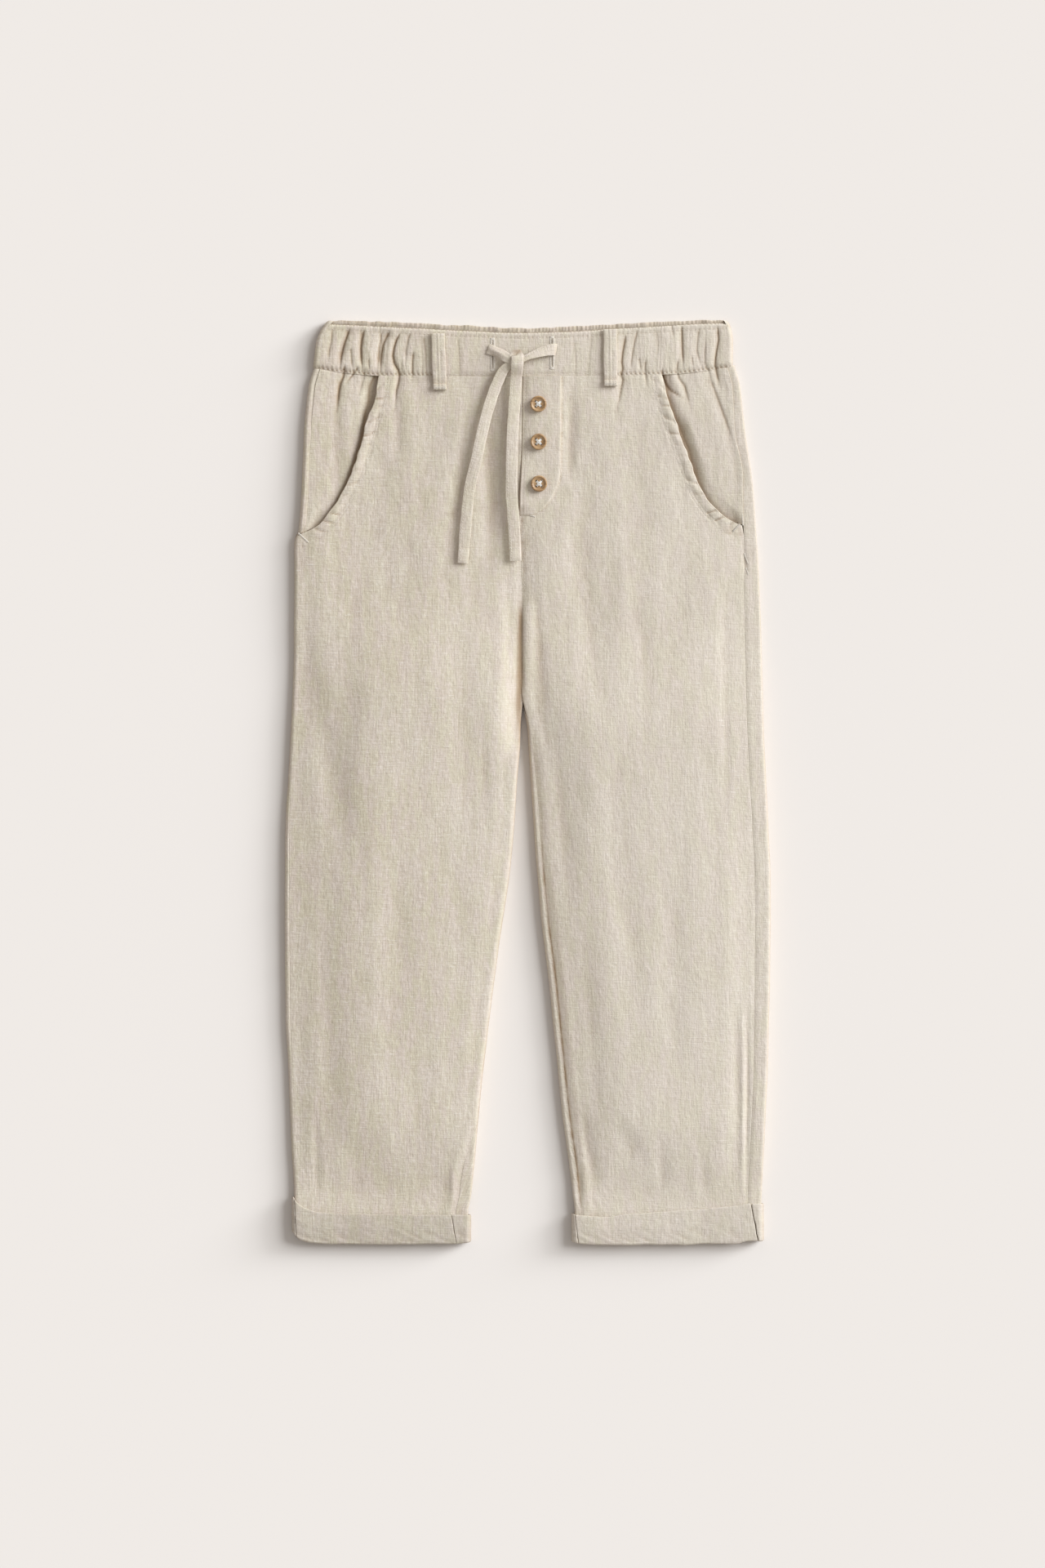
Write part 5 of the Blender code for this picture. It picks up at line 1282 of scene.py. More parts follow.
BEARER_LOWEST = 1.7  # it stays over the back's cloth
Gape = namedtuple("Gape", "share depth width")  # how a bearer falls away beside the pocket's edge
GAPES = {
    "right": (Gape(0.0, 1.6, 3.0), Gape(0.07, 2.9, 6.5), Gape(0.2, 2.8, 5.0), Gape(0.32, 1.8, 3.2),
              Gape(0.6, 1.1, 2.2), Gape(0.8, 0.5, 1.8), Gape(1.0, 0.0, 1.5)),
    "left": (Gape(0.0, 0.8, 2.0), Gape(0.22, 1.2, 3.0), Gape(0.34, 2.6, 5.0), Gape(0.55, 2.2, 4.2),
             Gape(0.72, 0.9, 2.2), Gape(1.0, 0.2, 1.5)),
}


def bearer_top(side, across, y):
    """A bearer lies level with the side seam in the opening, and under the front past it."""
    distance, run = away(across, y, side.opening)
    shown = (across > pocket_edge(side, y)) & (y > side.opening[-1][1])
    beyond = np.where(shown, distance, -distance)
    from_side = side_seam(side, y) - across
    covered = smooth((SINK_START - beyond) / SINK_RUN)
    covered = np.where(beyond > 0.0, covered * smooth(from_side / 7.0), covered)
    x = side.sign * across
    gathered = gathers(x, y) * smooth(from_side / GATHER_FADE)
    level = edge_rise(y) - gathered - fold_depth(x, y, CREASES) + rumple(x, y) * smooth(from_side / 9.0)
    share = run / side.opening_length
    gape, width = (Curve(GAPES[side.name], "share", column)(share) for column in ("depth", "width"))
    opened = gape * bell(np.abs(beyond), width) * smooth(from_side / 6.0)
    hidden = front_height(side, across, y) - FRONT_WALL - POCKET_SINK
    seam = SEAM_DEPTH * bell(from_side, SEAM_WIDTH)
    return np.maximum(mix(level - seam, hidden, covered) - opened, BEARER_LOWEST)


BEARER_COLUMNS = 104
BEARER_FOOT_Y = 164.0
BEARER_PITCH = 1.2
BEARER_WEAVE = (90.0, 40.0)  # where it was cut from the cloth
BEARER_SHADE = 0.55


def bearer_grids(side):
    """A bearer: from the side seam to a lap under its front."""
    y = np.concatenate([[WAIST_Y] * len(TUCK), np.arange(WAIST_Y - 1.6, BEARER_FOOT_Y, -BEARER_PITCH)])
    seam = side_seam(side, y) - SEAM_HALF
    seam = np.where(y < side.opening[-1][1] + 1.5, seam - 5.0, seam)
    inside = pocket_edge(side, y) - UNDERLAP
    across, inward = stops_between(seam, inside, BEARER_COLUMNS)
    level = levelled(side, across, y[:, None] + np.zeros_like(across))
    drop = np.zeros((len(y), 1))
    for n, (above, sunk) in enumerate(TUCK):
        level[n] = waist_seam(side.sign * across[n]) + above
        drop[n] = sunk
    top = bearer_top(side, across, level) - drop
    sunk = rolled(inward, SEAM_ROLL)
    outside = wander(joined(side.sign * across, level, top - sunk))
    below = wander(joined(side.sign * across, level, top - SHELL + np.minimum(sunk, 0.3)))
    return outside, below, joined(side.sign * across, level) + BEARER_WEAVE


def shade_of_opening(side, grids):
    """Painted shadow on a bearer beside the pocket's edge, where the front's edge shades it."""
    x, y = np.moveaxis(grids[2] - BEARER_WEAVE, -1, 0)
    return BEARER_SHADE * np.exp(-away(side.sign * x, y, side.opening)[0] / 2.4)


# ---------------------------------------------------------------- waistband


def band_start(side, y):
    return side.sign * side.band_x(y) - BAND_RADIUS


def band_seam(side, y):
    return seam_place(side.sign * side.band_x(y), side.band_wrap(y), BAND_RADIUS)


CORNER_START = 131.5  # from the band's middle
CORNER_RUN = 12.0
BAND_MIDDLE_X = -1.2


def corner(x):
    """How far the band's top edge comes down at its ends, which are rounded."""
    return BAND_CORNER * np.clip((np.abs(x - BAND_MIDDLE_X) - CORNER_START) / CORNER_RUN, 0.0, 1.2) ** 2


BAND_ROW_DEPTH = 0.34  # of the row of stitches below its top edge
BAND_FOOT = 3.2  # height over which the band comes down onto the fronts


def band_height(x, y):
    """Top face of the front band, with its gathers, its stitched rows and the bulge between them."""
    low, high = waist_seam(x), band_top(x)
    share = np.clip((y - low) / (high - low), 0.0, 1.0)
    right, left = band_seam(SIDES["right"], y), band_seam(SIDES["left"], y)
    from_end = np.where(x < 0, right, left) - np.abs(x)
    gathered = gathers(x, y) * smooth(from_end / GATHER_FADE)
    held = mix(1.0, 0.75, bell((high - y) - TOP_ROW, 1.6))
    bulge = BAND_BULGE * np.sin(math.pi * share) + 0.5 * rumple(x, y)
    phase = 2 * math.pi * x / BAND_STITCH
    rows = BAND_ROW_DEPTH * bell((high - y) - TOP_ROW, 0.8) * (0.85 + 0.3 * np.cos(phase))
    low_row = bell((y - low) - LOW_ROW, 1.0)
    rows = rows + low_row * (0.3 + 0.34 * elastic_share(x) * np.cos(phase + 1.6 * (y - low)))
    top = BAND_RISE + bulge - gathered * held
    below = np.where(x < 0, front_height(SIDES["right"], -x, low), front_height(SIDES["left"], x, low))
    return mix(top, below + 0.1, smooth(1.0 - (y - low) / BAND_FOOT)) - rows


def band_over(side, across, y, top, depth):
    start = band_start(side, y)
    held = np.minimum(across, start)
    turn = (across - held) / BAND_RADIUS
    raised = (top - BAND_RISE) * np.clip(np.cos(turn), 0.0, 1.0)
    spot = held + (BAND_RADIUS - depth) * np.sin(turn)
    return side.sign * spot, BAND_RADIUS + (BAND_RADIUS - depth) * np.cos(turn) + raised


BAND_COLUMNS = 400
SCALLOP = 2.5  # pitch of the small scallops along the band's edges
BAND_STOPS = (0.0, 0.012, 0.035, 0.07, 0.11)  # rows up the band beside each edge, as shares of its width


def scallops(x):
    """Small uneven waves along the band's edges, from -1 to 1."""
    return np.cos(2 * math.pi * (x + 3.0 * waves(x, 9, 3)) / SCALLOP)


def band_rows():
    inner = np.linspace(BAND_STOPS[-1], 1.0 - BAND_STOPS[-1], 22)[1:-1]
    return np.concatenate([BAND_STOPS, inner, 1.0 - np.array(BAND_STOPS[::-1])])


def band_roll(share_up, low_roll):
    """How far a band's face sinks at its rounded top edge, and at its low edge on the cloth below."""
    low, high = (1.0 - min(1.0, share / 0.05) for share in (share_up, 1.0 - share_up))
    return low_roll * (1.0 - math.sqrt(1.0 - low**2)) + 0.9 * (1.0 - math.sqrt(1.0 - high**2))


def make_band_front(look):
    rows = band_rows()
    shares = np.linspace(-1.0, 1.0, 2 * BAND_COLUMNS + 1)
    outside, inside, uv = [], [], []
    for share_up in rows:
        x = np.zeros_like(shares)
        level = np.full_like(shares, mix(BAND_END_LOW_Y, BAND_END_HIGH_Y, share_up))
        for _ in range(3):
            right = -shares * (band_seam(SIDES["right"], level) - SEAM_HALF)
            left = shares * (band_seam(SIDES["left"], level) - SEAM_HALF)
            x = np.where(shares < 0, -right, left)
            level = mix(waist_seam(x) + SEAM_HALF, band_top(x) - corner(x), share_up)
        scallop = 0.3 * gathers(x, level) + 0.12 * scallops(x)
        level = level - scallop * ramp(share_up, 0.86, 1.0)
        rounded = band_roll(share_up, 0.22)
        top = band_height(x, level)
        for faces, depth in ((outside, rounded), (inside, BAND_WALL - 0.5 * rounded)):
            spot_r, height_r = band_over(SIDES["right"], np.abs(x), level, top, depth)
            spot_l, height_l = band_over(SIDES["left"], np.abs(x), level, top, depth)
            spot, height = np.where(x < 0, spot_r, spot_l), np.where(x < 0, height_r, height_l)
            if depth > 1.2:  # the inside stays plain
                plain = np.abs(x) < band_start(SIDES["left"], level)
                height = np.where(plain, BAND_RISE - depth - 0.4, height)
            faces.append(joined(spot, level, height))
        uv.append(joined(x * 1.25, level + 130.0))
    outside, inside = wander(np.array(outside)), wander(np.array(inside))
    clothe("waistband_front", (outside, inside, uv), look, "waistband_front")


def make_band_back(look):
    rows = band_rows()
    outside, inside, uv = [], [], []
    for share_up in rows:
        rounded = band_roll(share_up, 0.9)
        for faces, depth in ((outside, rounded), (inside, BAND_WALL - 0.5 * rounded)):
            ends = []
            for side in SIDES.values():
                y = mix(BAND_END_LOW_Y, BAND_END_HIGH_Y, share_up)
                for _ in range(3):
                    end = side.sign * band_seam(side, y)
                    y = mix(waist_seam(end) + SEAM_HALF, back_band_top(end) - corner(end), share_up)
                seam = band_seam(side, y) + SEAM_HALF
                under = band_start(side, y) + math.pi * BAND_RADIUS
                across = np.linspace(float(seam), float(under), 18)
                wavy = band_height(side.sign * across, mix(waist_seam(side.sign * across),
                                                           band_top(side.sign * across), share_up))
                spot, height = band_over(side, across, y, wavy, depth)
                ends.append((spot, height))
            first, last = ends[0][0][-1], ends[1][0][-1]
            middle = np.linspace(first, last, BAND_COLUMNS + 2)[1:-1]
            lifted = np.clip(0.5 * ripples(middle, middle * 0 + y, 4.2, 70.0, 93), 0.0, 0.6)
            if depth > 1.2:  # its inside shows over the front's top edge, in fine gathers
                above = mix(waist_seam(middle), back_band_top(middle) - corner(middle), share_up)
                above = above - band_top(middle)
                hatch = 0.2 * scallops(middle) + 0.3 * ripples(middle, middle * 0.0, 4.0, 9.0, 97)
                lifted = lifted + (2.1 + hatch) * ramp(above, -0.7, 0.5)
            x = np.concatenate([ends[0][0], middle, ends[1][0][::-1]])
            z = np.concatenate([ends[0][1], depth + lifted, ends[1][1][::-1]])
            level = mix(waist_seam(x) + SEAM_HALF, back_band_top(x) - corner(x), share_up)
            level = level + 0.5 * ripples(x, x * 0, 5.0, 50.0, 95) * ramp(share_up, 0.8, 1.0)
            faces.append(joined(x, level, z))
        uv.append(joined(x * 1.25 + 300.0, level + 130.0))
    outside, inside = wander(np.array(outside)), wander(np.array(inside))
    clothe("waistband_back", (outside, inside, uv), look, "waistband_back")


# ---------------------------------------------------------------- turn-ups

CUFFS = {
    "right": Cuff(-38.9, -161.9, -52.6, -49.4, -160.4, -159.0, 0.14),
    "left": Cuff(30.1, 162.2, 32.3, 34.6, 153.6, 158.0, 0.35),
}
CUFF_RADIUS = CUFF_RISE / 2
# Painted shade: the turn-ups' linen is darkened, as they lie in less light.
CUFF_SHADED_BRIGHTNESS = {"right": 0.84, "left": 0.93}  # beside the rest of the linen, as they lie in the photo


def cuff_relief(x, y):
    """Unevenness of a turn-up's cloth."""
    return 1.1 * rumple(x * 1.3 + 500.0, y * 2.2) + 0.12 * ripples(x, y, 20.0, 9.0, 97)


def cuff_place(cuff, side, across, depth, relief):
    """A point round a turn-up's tube, from its top face over either folded edge."""
    inner, outer = side.sign * cuff.inner, side.sign * cuff.outer
    held = np.clip(across, inner + CUFF_RADIUS, outer - CUFF_RADIUS)
    turn = (across - held) / CUFF_RADIUS
    spot = held + (CUFF_RADIUS - depth) * np.sin(turn)
    height = CUFF_RADIUS + (CUFF_RADIUS - depth) * np.cos(turn) + relief * np.clip(np.cos(turn), 0.0, 1.0)
    return spot, height


def cuff_profile():
    """Rows of a turn-up: share from its upper edge to the bottom fold, drop below the fold's centre, and
    the depths of its outer and inner face."""
    wall = HEMMED
    rows = []
    for share in (0.0, 0.006, 0.02, 0.045):
        near = 1.0 - min(1.0, share / 0.04)
        sunk = 0.5 * wall * (1.0 - math.sqrt(1.0 - near**2))
        rows.append((share, 0.0, sunk, 0.0, wall - sunk))
    rows += [(share, 0.0, 0.0, 0.0, wall) for share in np.linspace(0.09, 0.97, 16)]
    small = TURN_RADIUS - wall + 0.2
    for angle in np.linspace(0.0, math.pi, 9):
        out = (-TURN_RADIUS * math.sin(angle), TURN_RADIUS * (1 - math.cos(angle)))
        rows.append((1.0, out[0], out[1], -small * math.sin(angle), TURN_RADIUS - small * math.cos(angle)))
    rows.append((1.0, TURN_LIP, 2 * TURN_RADIUS, TURN_LIP, 2 * TURN_RADIUS - wall))
    return rows


def cuff_columns(part, edges, seams, gaps):
    """Places across one piece of a turn-up, how far in each is from its seams, and 1 on the floor."""
    (inner, outer), (inner_at, outer_at), (inner_gap, outer_gap) = edges, seams, gaps
    if part == "front":
        across, inward = stops_between(outer_at - outer_gap, inner_at + inner_gap, 110)
        return across[0], inward[0], np.zeros_like(across[0])
    round_edge = (math.pi - 1.0) * CUFF_RADIUS  # how far the cloth runs on past a folded edge
    first, _ = stops_between(outer_at + outer_gap, np.array([outer + round_edge]), 12, True, False)
    last, _ = stops_between(np.array([inner - round_edge]), inner_at - inner_gap, 16, False, True)
    flat_spots = np.linspace(outer - CUFF_RADIUS, inner + CUFF_RADIUS, 62)[1:-1]
    across = np.concatenate([first[0], flat_spots, last[0]])
    flat = np.concatenate([first[0] * 0, flat_spots * 0 + 1, last[0] * 0])
    from_outer, from_inner = across - (outer_at + outer_gap), across - (inner_at - inner_gap)
    return across, np.where(flat > 0, 9.0, np.minimum(np.abs(from_outer), np.abs(from_inner))), flat


def cuff_puff(x, level, share, plate, deep):
    """Relief of a turn-up: its unevenness, its fullness between the edges and the pull at its fold."""
    relief = cuff_relief(x, level) * (0.4 if deep else 1.0)
    relief = relief * (0.5 + 0.5 * plate) + 0.35 * plate + 0.25 * (1.0 - share)
    pulled = ripples(x + 2.0 * level, level, 4.6, 11.0, 109) * np.clip(2.0 * share - 0.8, 0.0, 1.0)
    return relief + 0.3 * pulled * (share < 1.0)


def turn_up_grids(side, part):
    cuff = CUFFS[side.name]
    inner, outer = side.sign * cuff.inner, side.sign * cuff.outer
    grids = [], [], []
    for share, drop_out, depth_out, drop_in, depth_in in cuff_profile():
        inner_seam = side.sign * mix(cuff.inner_top, cuff.inner_low, share)
        outer_seam = side.sign * mix(cuff.outer_top, cuff.outer_low, share)
        ragged = 0.5 * ripples(np.array([7.0]), np.array([150.0 * share]), 9.0, 30.0, 107)
        inner_at = 0.5 * ragged - seam_place(-inner, inner_seam - inner, CUFF_RADIUS)
        outer_at = ragged + seam_place(outer, outer - outer_seam, CUFF_RADIUS)
        gaps = 0.1, cuff.slit * (1.0 + ragged)
        across, inward, flat = cuff_columns(part, (inner, outer), (inner_at, outer_at), gaps)
        pinch = rolled(inward, 0.4)
        x = side.sign * np.clip(across, inner, outer)
        fold = side.hem_bottom(x) + TURN_RADIUS + 0.45 * waves(x, 13.0, 103)
        top = side.hem_top(x) + 0.45 * waves(x, 11.0, 99)
        top = top + 0.2 * waves(x, 3.6, 105)
        plate = 1.0 - abs(2 * share - 1.0)
        outer_face, inner_face = (grids[0], drop_out, depth_out, 1.0), (grids[1], drop_in, depth_in, -0.6)
        for faces, drop, depth, roll in (outer_face, inner_face):
            level = mix(top, fold, share) + drop
            relief = cuff_puff(x, level, share, plate, depth >= CUFF_RADIUS / 2) * (depth_out <= TURN_RADIUS)
            spot, height = cuff_place(cuff, side, across, depth + roll * pinch, relief)
            under = np.clip(0.3 * ripples(x, level, 14.0, 14.0, 87), 0.0, 0.5) * (1.0 if depth < 1.3 else 0.3)
            faces.append(joined(side.sign * np.where(flat > 0, across, spot), level,
                                np.where(flat > 0, depth + under, height)))
        grids[2].append(joined(side.sign * across + 60.0, -(mix(top, fold, share) + drop_out) - 200.0))
    return wander(np.array(grids[0])), wander(np.array(grids[1])), grids[2]


# ---------------------------------------------------------------- fly placket and belt loops


def cloth_top(x, y):
    """Outer face of the front as it lies: the band above the waist seam, the fronts below it."""
    x, y = np.broadcast_arrays(np.atleast_1d(np.asarray(x, float)), np.atleast_1d(np.asarray(y, float)))
    right, left = SIDES["right"], SIDES["left"]
    below = np.where(x < centre_seam(y), panel_top(right, -x, y), panel_top(left, x, y))
    return np.where(y > waist_seam(x), band_height(x, y), below)


def highest_near(x, y, reach):
    steps = np.array([-1.0, -0.5, 0.0, 0.5, 1.0]) * reach
    return float(cloth_top(x + steps[:, None], y + steps[None, :]).max())


FLY_RISE = 0.55  # a folded layer over the front
FLY_LOOSE_Y = ((232.0, 202.0), (186.0, 192.0))  # its edge at the centre seam is loose between these levels
FLY_STANDS = 0.75
FLY_HELD = 0.8
FLY_EDGE_ROW = 2.2  # its row of stitches beside the centre seam
LOOP_WIDTH = 9.6
LOOP_CLOTH = 1.4
LOOP_BAR = 4.0
LOOP_BAR_CLOTH = 2.2


def fly_loose(y):
    """0 where the placket's left edge is sewn down, 1 where it is loose."""
    start, end = FLY_LOOSE_Y
    return ramp(y, *start) * ramp(y, *end)


def fly_top(x, y):
    """Outer face of the placket, whose edge stands up beside the centre seam."""
    from_edge = x - centre_seam(y)
    free = fly_loose(y)
    lifted = (FLY_STANDS * free - FLY_HELD * (1.0 - free)) * np.exp(-from_edge / 4.0)
    rows = 0.16 * bell(from_edge - FLY_EDGE_ROW, 0.6)
    sewn_down = smooth((fly_right(y) - x) / 2.6) * ramp(y, 182.6, 185.2)
    return cloth_top(x, y) + 0.04 + (LAYER_GAP + FLY_RISE + lifted) * sewn_down - rows


def make_fly(look):
    y = np.concatenate([np.arange(279.0, 210.0, -1.2), np.arange(209.6, 183.6, -0.8), [183.6]])
    begin = centre_seam(y) + 0.5
    across, inward = stops_between(begin, fly_right(y), 36)
    y2 = y[:, None] + np.zeros_like(across)
    y2[0] = waist_seam(across[0]) - SEAM_HALF
    top = fly_top(across, y2)
    sunk = np.where(across - begin[:, None] < 6.0, rolled(inward, 0.45) * (0.15 + 0.85 * fly_loose(y2)), 0.0)
    outside = wander(joined(across, y2, top - sunk))
    inside = wander(joined(across, y2, top - FLY_CLOTH + 0.2 + 0.3 * sunk))
    clothe("fly", (outside, inside, joined(across - 30.0, y2 + 9.0)), look, "fly_placket")


LOOP_STATIONS = np.concatenate([
    [0.0, 0.006, 0.018, 0.04], np.linspace(0.06, 0.885, 40), [0.893, 0.900, 0.907, 0.915],
    np.linspace(0.93, 0.98, 5), [0.99, 1.0],
])  # shares down a loop, close together at its ends and at the step to its bar
LOOP_STEPS = np.concatenate([[-1.0, -0.97, -0.9, -0.8], np.linspace(-0.65, 0.65, 15), [0.8, 0.9, 0.97, 1.0]])
LOOP_ROWS = (1.2, -1.2)  # its two rows of stitches, from its middle


def loop_top(name, share, step):
    """A place on a belt loop: share down it, step from -1 to 1 across it."""
    top, bar = LOOPS[name]
    x, y = mix(top.x, bar.x, share), mix(top.y, bar.y, share)
    return x + step * LOOP_WIDTH / 2 * (1.0 - 0.04 * math.sin(9.0 * share)), y


def make_loops(look):
    for name, (top, bar) in LOOPS.items():
        shares, steps = LOOP_STATIONS, LOOP_STEPS
        length = math.dist(top, bar)
        bar_share = 1.0 - LOOP_BAR / length
        ground = [highest_near(*loop_top(name, share, 0.0), LOOP_WIDTH / 2) for share in shares]
        ground = np.convolve(np.pad(ground, 3, mode="edge"), np.ones(7) / 7, mode="valid") + LAYER_GAP
        outside, inside, uv = [], [], []
        for share, base in zip(shares, ground):
            thick = mix(LOOP_CLOTH, LOOP_BAR_CLOTH, float(smooth((share - bar_share) / 0.012 + 0.5)))
            x, y = loop_top(name, share, steps)
            from_edge = (1.0 - np.abs(steps)) * LOOP_WIDTH / 2
            from_end = min(share, 1.0 - share) * length
            sunk = np.maximum(rolled(from_edge, 0.55), rolled(np.array(from_end), 0.5))
            twin = 0.2 * sum(np.exp(-((steps * LOOP_WIDTH / 2 - row) ** 2) / 0.3) for row in LOOP_ROWS)
            puff = 0.3 * (1.0 - steps**2) + 0.12 * ripples(x, x * 0 + y, 5.0, 6.0, 33)
            z = base + thick + puff - twin
            outside.append(joined(x, y + 0 * x, z - sunk))
            inside.append(joined(x, y + 0 * x, base + 0.25 * (1.0 - steps**2) + 0.3 * sunk))
            uv.append(joined(steps * LOOP_WIDTH / 2 + 400.0, y + 0 * x))
        clothe(f"loop_{name}", (outside, inside, uv), look, f"belt_loop_{name}")


# ---------------------------------------------------------------- stitches

THREAD = 0.34  # thread's thickness


def capsules(segments, radius, sides=6):
    """Vertices and faces of rounded rods, one for each pair of end points."""
    profile = ((0.0, 0.25), (0.08, 0.75), (0.22, 1.0), (0.5, 1.05), (0.78, 1.0), (0.92, 0.75), (1.0, 0.25))
    verts, faces = [], []
    for start, end in segments:
        start, end = Vector(start), Vector(end)
        ahead = (end - start).normalized()
        sideways = ahead.cross(Vector((0, 0, 1))).normalized()
        up = sideways.cross(ahead)
        base = len(verts)
        for share, girth in profile:
            centre = start.lerp(end, share) - up * radius * 0.5 * (1 - math.sin(math.pi * share))
            for k in range(sides):
                angle = 2 * math.pi * k / sides
                verts.append(centre + (sideways * math.cos(angle) + up * math.sin(angle)) * radius * girth)
        for ring in range(len(profile) - 1):
            for k in range(sides):
                a, b = base + ring * sides + k, base + ring * sides + (k + 1) % sides
                faces.append((a, b, b + sides, a + sides))
        faces.append([base + k for k in range(sides)][::-1])
        faces.append([base + (len(profile) - 1) * sides + k for k in range(sides)])
    return verts, faces


def rods(name, segments, radius, look, sides=6):
    verts, faces = capsules(segments, radius, sides)
    data = bpy.data.meshes.new(name)
    data.from_pydata([v * MM for v in verts], [], faces)
    data.shade_smooth()
    return add_piece(name, data, look)


def stitched(route, height, pitch=STITCH, fill=0.72, wandering=True):
    """End points of the stitches along a route, lying on a surface given by its height."""
    points = evenly(route, pitch / 4)
    if wandering:
        flat = np.concatenate([points[:, :2], np.zeros((len(points), 1))], axis=1)
        shown = wander(flat)
    z = height(points[:, 0], points[:, 1])
    segments = []
    step = 4
    half = max(1, int(round(step * fill)))
    for i in range(0, len(points) - half, step):
        a, b = i, i + half
        place = shown if wandering else points
        segments.append(((place[a, 0], place[a, 1], z[a] - 0.05), (place[b, 0], place[b, 1], z[b] - 0.05)))
    return segments


def make_panel_stitches(look):
    fly_rows = stitched(fly_route(), fly_top) + stitched(fly_edge_route(), fly_top)
    rods("stitches_fly", fly_rows, THREAD / 2, look)
    rows = [pair for route in PANEL_ROWS[1:] for pair in stitched(route, cloth_top)]
    rods("stitches_pockets", rows, THREAD / 2, look)
    x = np.linspace(-137.0, 134.0, 260)
    top_row = list(zip(x, band_top(x) - TOP_ROW))
    low_row = list(zip(x, waist_seam(x) + LOW_ROW))
    rows = stitched(top_row, band_height) + stitched(low_row, band_height, BAND_STITCH)
    rods("stitches_band", rows, THREAD / 2 + 0.03, look)


Bar = namedtuple("Bar", "x0 y0 x1 y1")
BARTACKS = table(
    Bar, (-157.4, 171.8, -150.6, 165.4), (146.8, 191, 147.6, 177), (145.6, 178, 140.4, 172.6),
    (-0.4, 184.6, 5.2, 182.8), (148.4, 158, 151, 151), (149.6, 148, 151.4, 143),
)
BAR_PITCH = 0.42
BAR_HALF = 0.65


def make_bartacks(look):
    """Short dense bars of thread that close the pocket corners and the foot of the fly."""
    segments = []
    for ax, ay, bx, by in BARTACKS:
        length = math.hypot(bx - ax, by - ay)
        nx, ny = BAR_HALF * (ay - by) / length, BAR_HALF * (bx - ax) / length
        count = int(length / BAR_PITCH)
        for k in range(count):
            share = (k + 0.5) / count
            x, y = mix(ax, bx, share), mix(ay, by, share)
            z = float(cloth_top(x, y)[0]) + 0.12
            segments.append(((x - nx, y - ny, z), (x + nx, y + ny, z)))
    return rods("bartacks", segments, 0.2, look, 5)


def make_loop_stitches(look):
    segments = []
    for name in LOOPS:
        top, bar = LOOPS[name]
        length = math.dist(top, bar)
        piece = bpy.data.objects[f"linen_loop_{name}"]
        height = surface_of(piece)
        for row in LOOP_ROWS[::-1]:
            spots = [loop_top(name, share, row / (LOOP_WIDTH / 2)) for share in np.linspace(0.03, 0.89, 40)]
            segments += stitched(spots, height, 2.0, wandering=False)
        for k in range(14):  # the bar
            x, y = loop_top(name, 1.0 - 1.4 / length, -0.8 + 1.6 * k / 13)
            z = float(height(np.array([x]), np.array([y]))[0]) + 0.08
            segments.append(((x - 0.2, y - 0.9, z), (x + 0.2, y + 0.9, z)))
    return rods("stitches_loops", segments, THREAD / 2, look)


def surface_of(piece):
    """Height of a piece's top at places, found by casting down on it."""
    places, faces = [v.co for v in piece.data.vertices], [p.vertices for p in piece.data.polygons]
    tree = BVHTree.FromPolygons(places, faces)

    def height(x, y):
        found = []
        for one_x, one_y in zip(np.atleast_1d(x), np.atleast_1d(y)):
            hit = tree.ray_cast(Vector((one_x * MM, one_y * MM, 0.1)), Vector((0, 0, -1)))[0]
            found.append(hit.z / MM if hit else 0.0)
        return np.array(found)

    return height


BUTTONHOLES = table(
    Spot, (-24.2, 294.2), (16.6, 295.4),
)
BUTTONHOLE_HALF = 9.6
BUTTONHOLE_PITCH = 0.5
BUTTONHOLE_EDGE = (0.35, 1.75)  # from its slit to the near and far end of its side stitches
BUTTONHOLE_END = 1.6  # half length of the bars at its ends


def make_buttonholes(look, slit_shadow_look):
    """Two upright buttonholes in the band: a rod of painted shadow in the slit, between two columns of dense
    stitches.
    """
    segments, slits = [], []
    for spot in BUTTONHOLES:
        count = int(2 * BUTTONHOLE_HALF / BUTTONHOLE_PITCH)
        for k in range(count + 1):
            y = spot.y - BUTTONHOLE_HALF + 2 * BUTTONHOLE_HALF * k / count
            for way in (-1, 1):
                near, far = (spot.x + way * reach for reach in BUTTONHOLE_EDGE)
                z_near, z_far = float(band_height(near, y)) + 0.12, float(band_height(far, y)) + 0.05
                segments.append(((near, y, z_near), (far, y + 0.12, z_far)))
        left, right = spot.x - BUTTONHOLE_END, spot.x + BUTTONHOLE_END
        for end in (-1, 1):
            y = spot.y + end * (BUTTONHOLE_HALF + 0.5)
            z = float(band_height(spot.x, y)) + 0.15
            for k in range(4):
                segments.append(((left, y + 0.35 * k * end, z), (right, y + 0.35 * k * end, z)))
        z = float(band_height(spot.x, spot.y)) - 0.02
        slits.append(((spot.x, spot.y - BUTTONHOLE_HALF, z), (spot.x, spot.y + BUTTONHOLE_HALF, z)))
    rods("buttonhole_stitches", segments, 0.24, look, 5)
    rods("buttonhole_slits", slits, 0.22, slit_shadow_look, 6)


# ---------------------------------------------------------------- buttons

BUTTON_RADIUS = 5.6
BUTTON_HEIGHT = 2.4
BUTTON_HOLE_RADIUS = 0.85
BUTTON_HOLE_PLACE = 1.75
Turned = namedtuple("Turned", "radius height")
BUTTON_PROFILE = table(
    Turned, (0, 0), (0.74, 0), (0.88, 0.1), (0.97, 0.32), (1, 0.6), (0.985, 0.8), (0.94, 0.94), (0.88, 1),
    (0.82, 0.99), (0.76, 0.9), (0.7, 0.76), (0.62, 0.69), (0.45, 0.66), (0, 0.65),
)


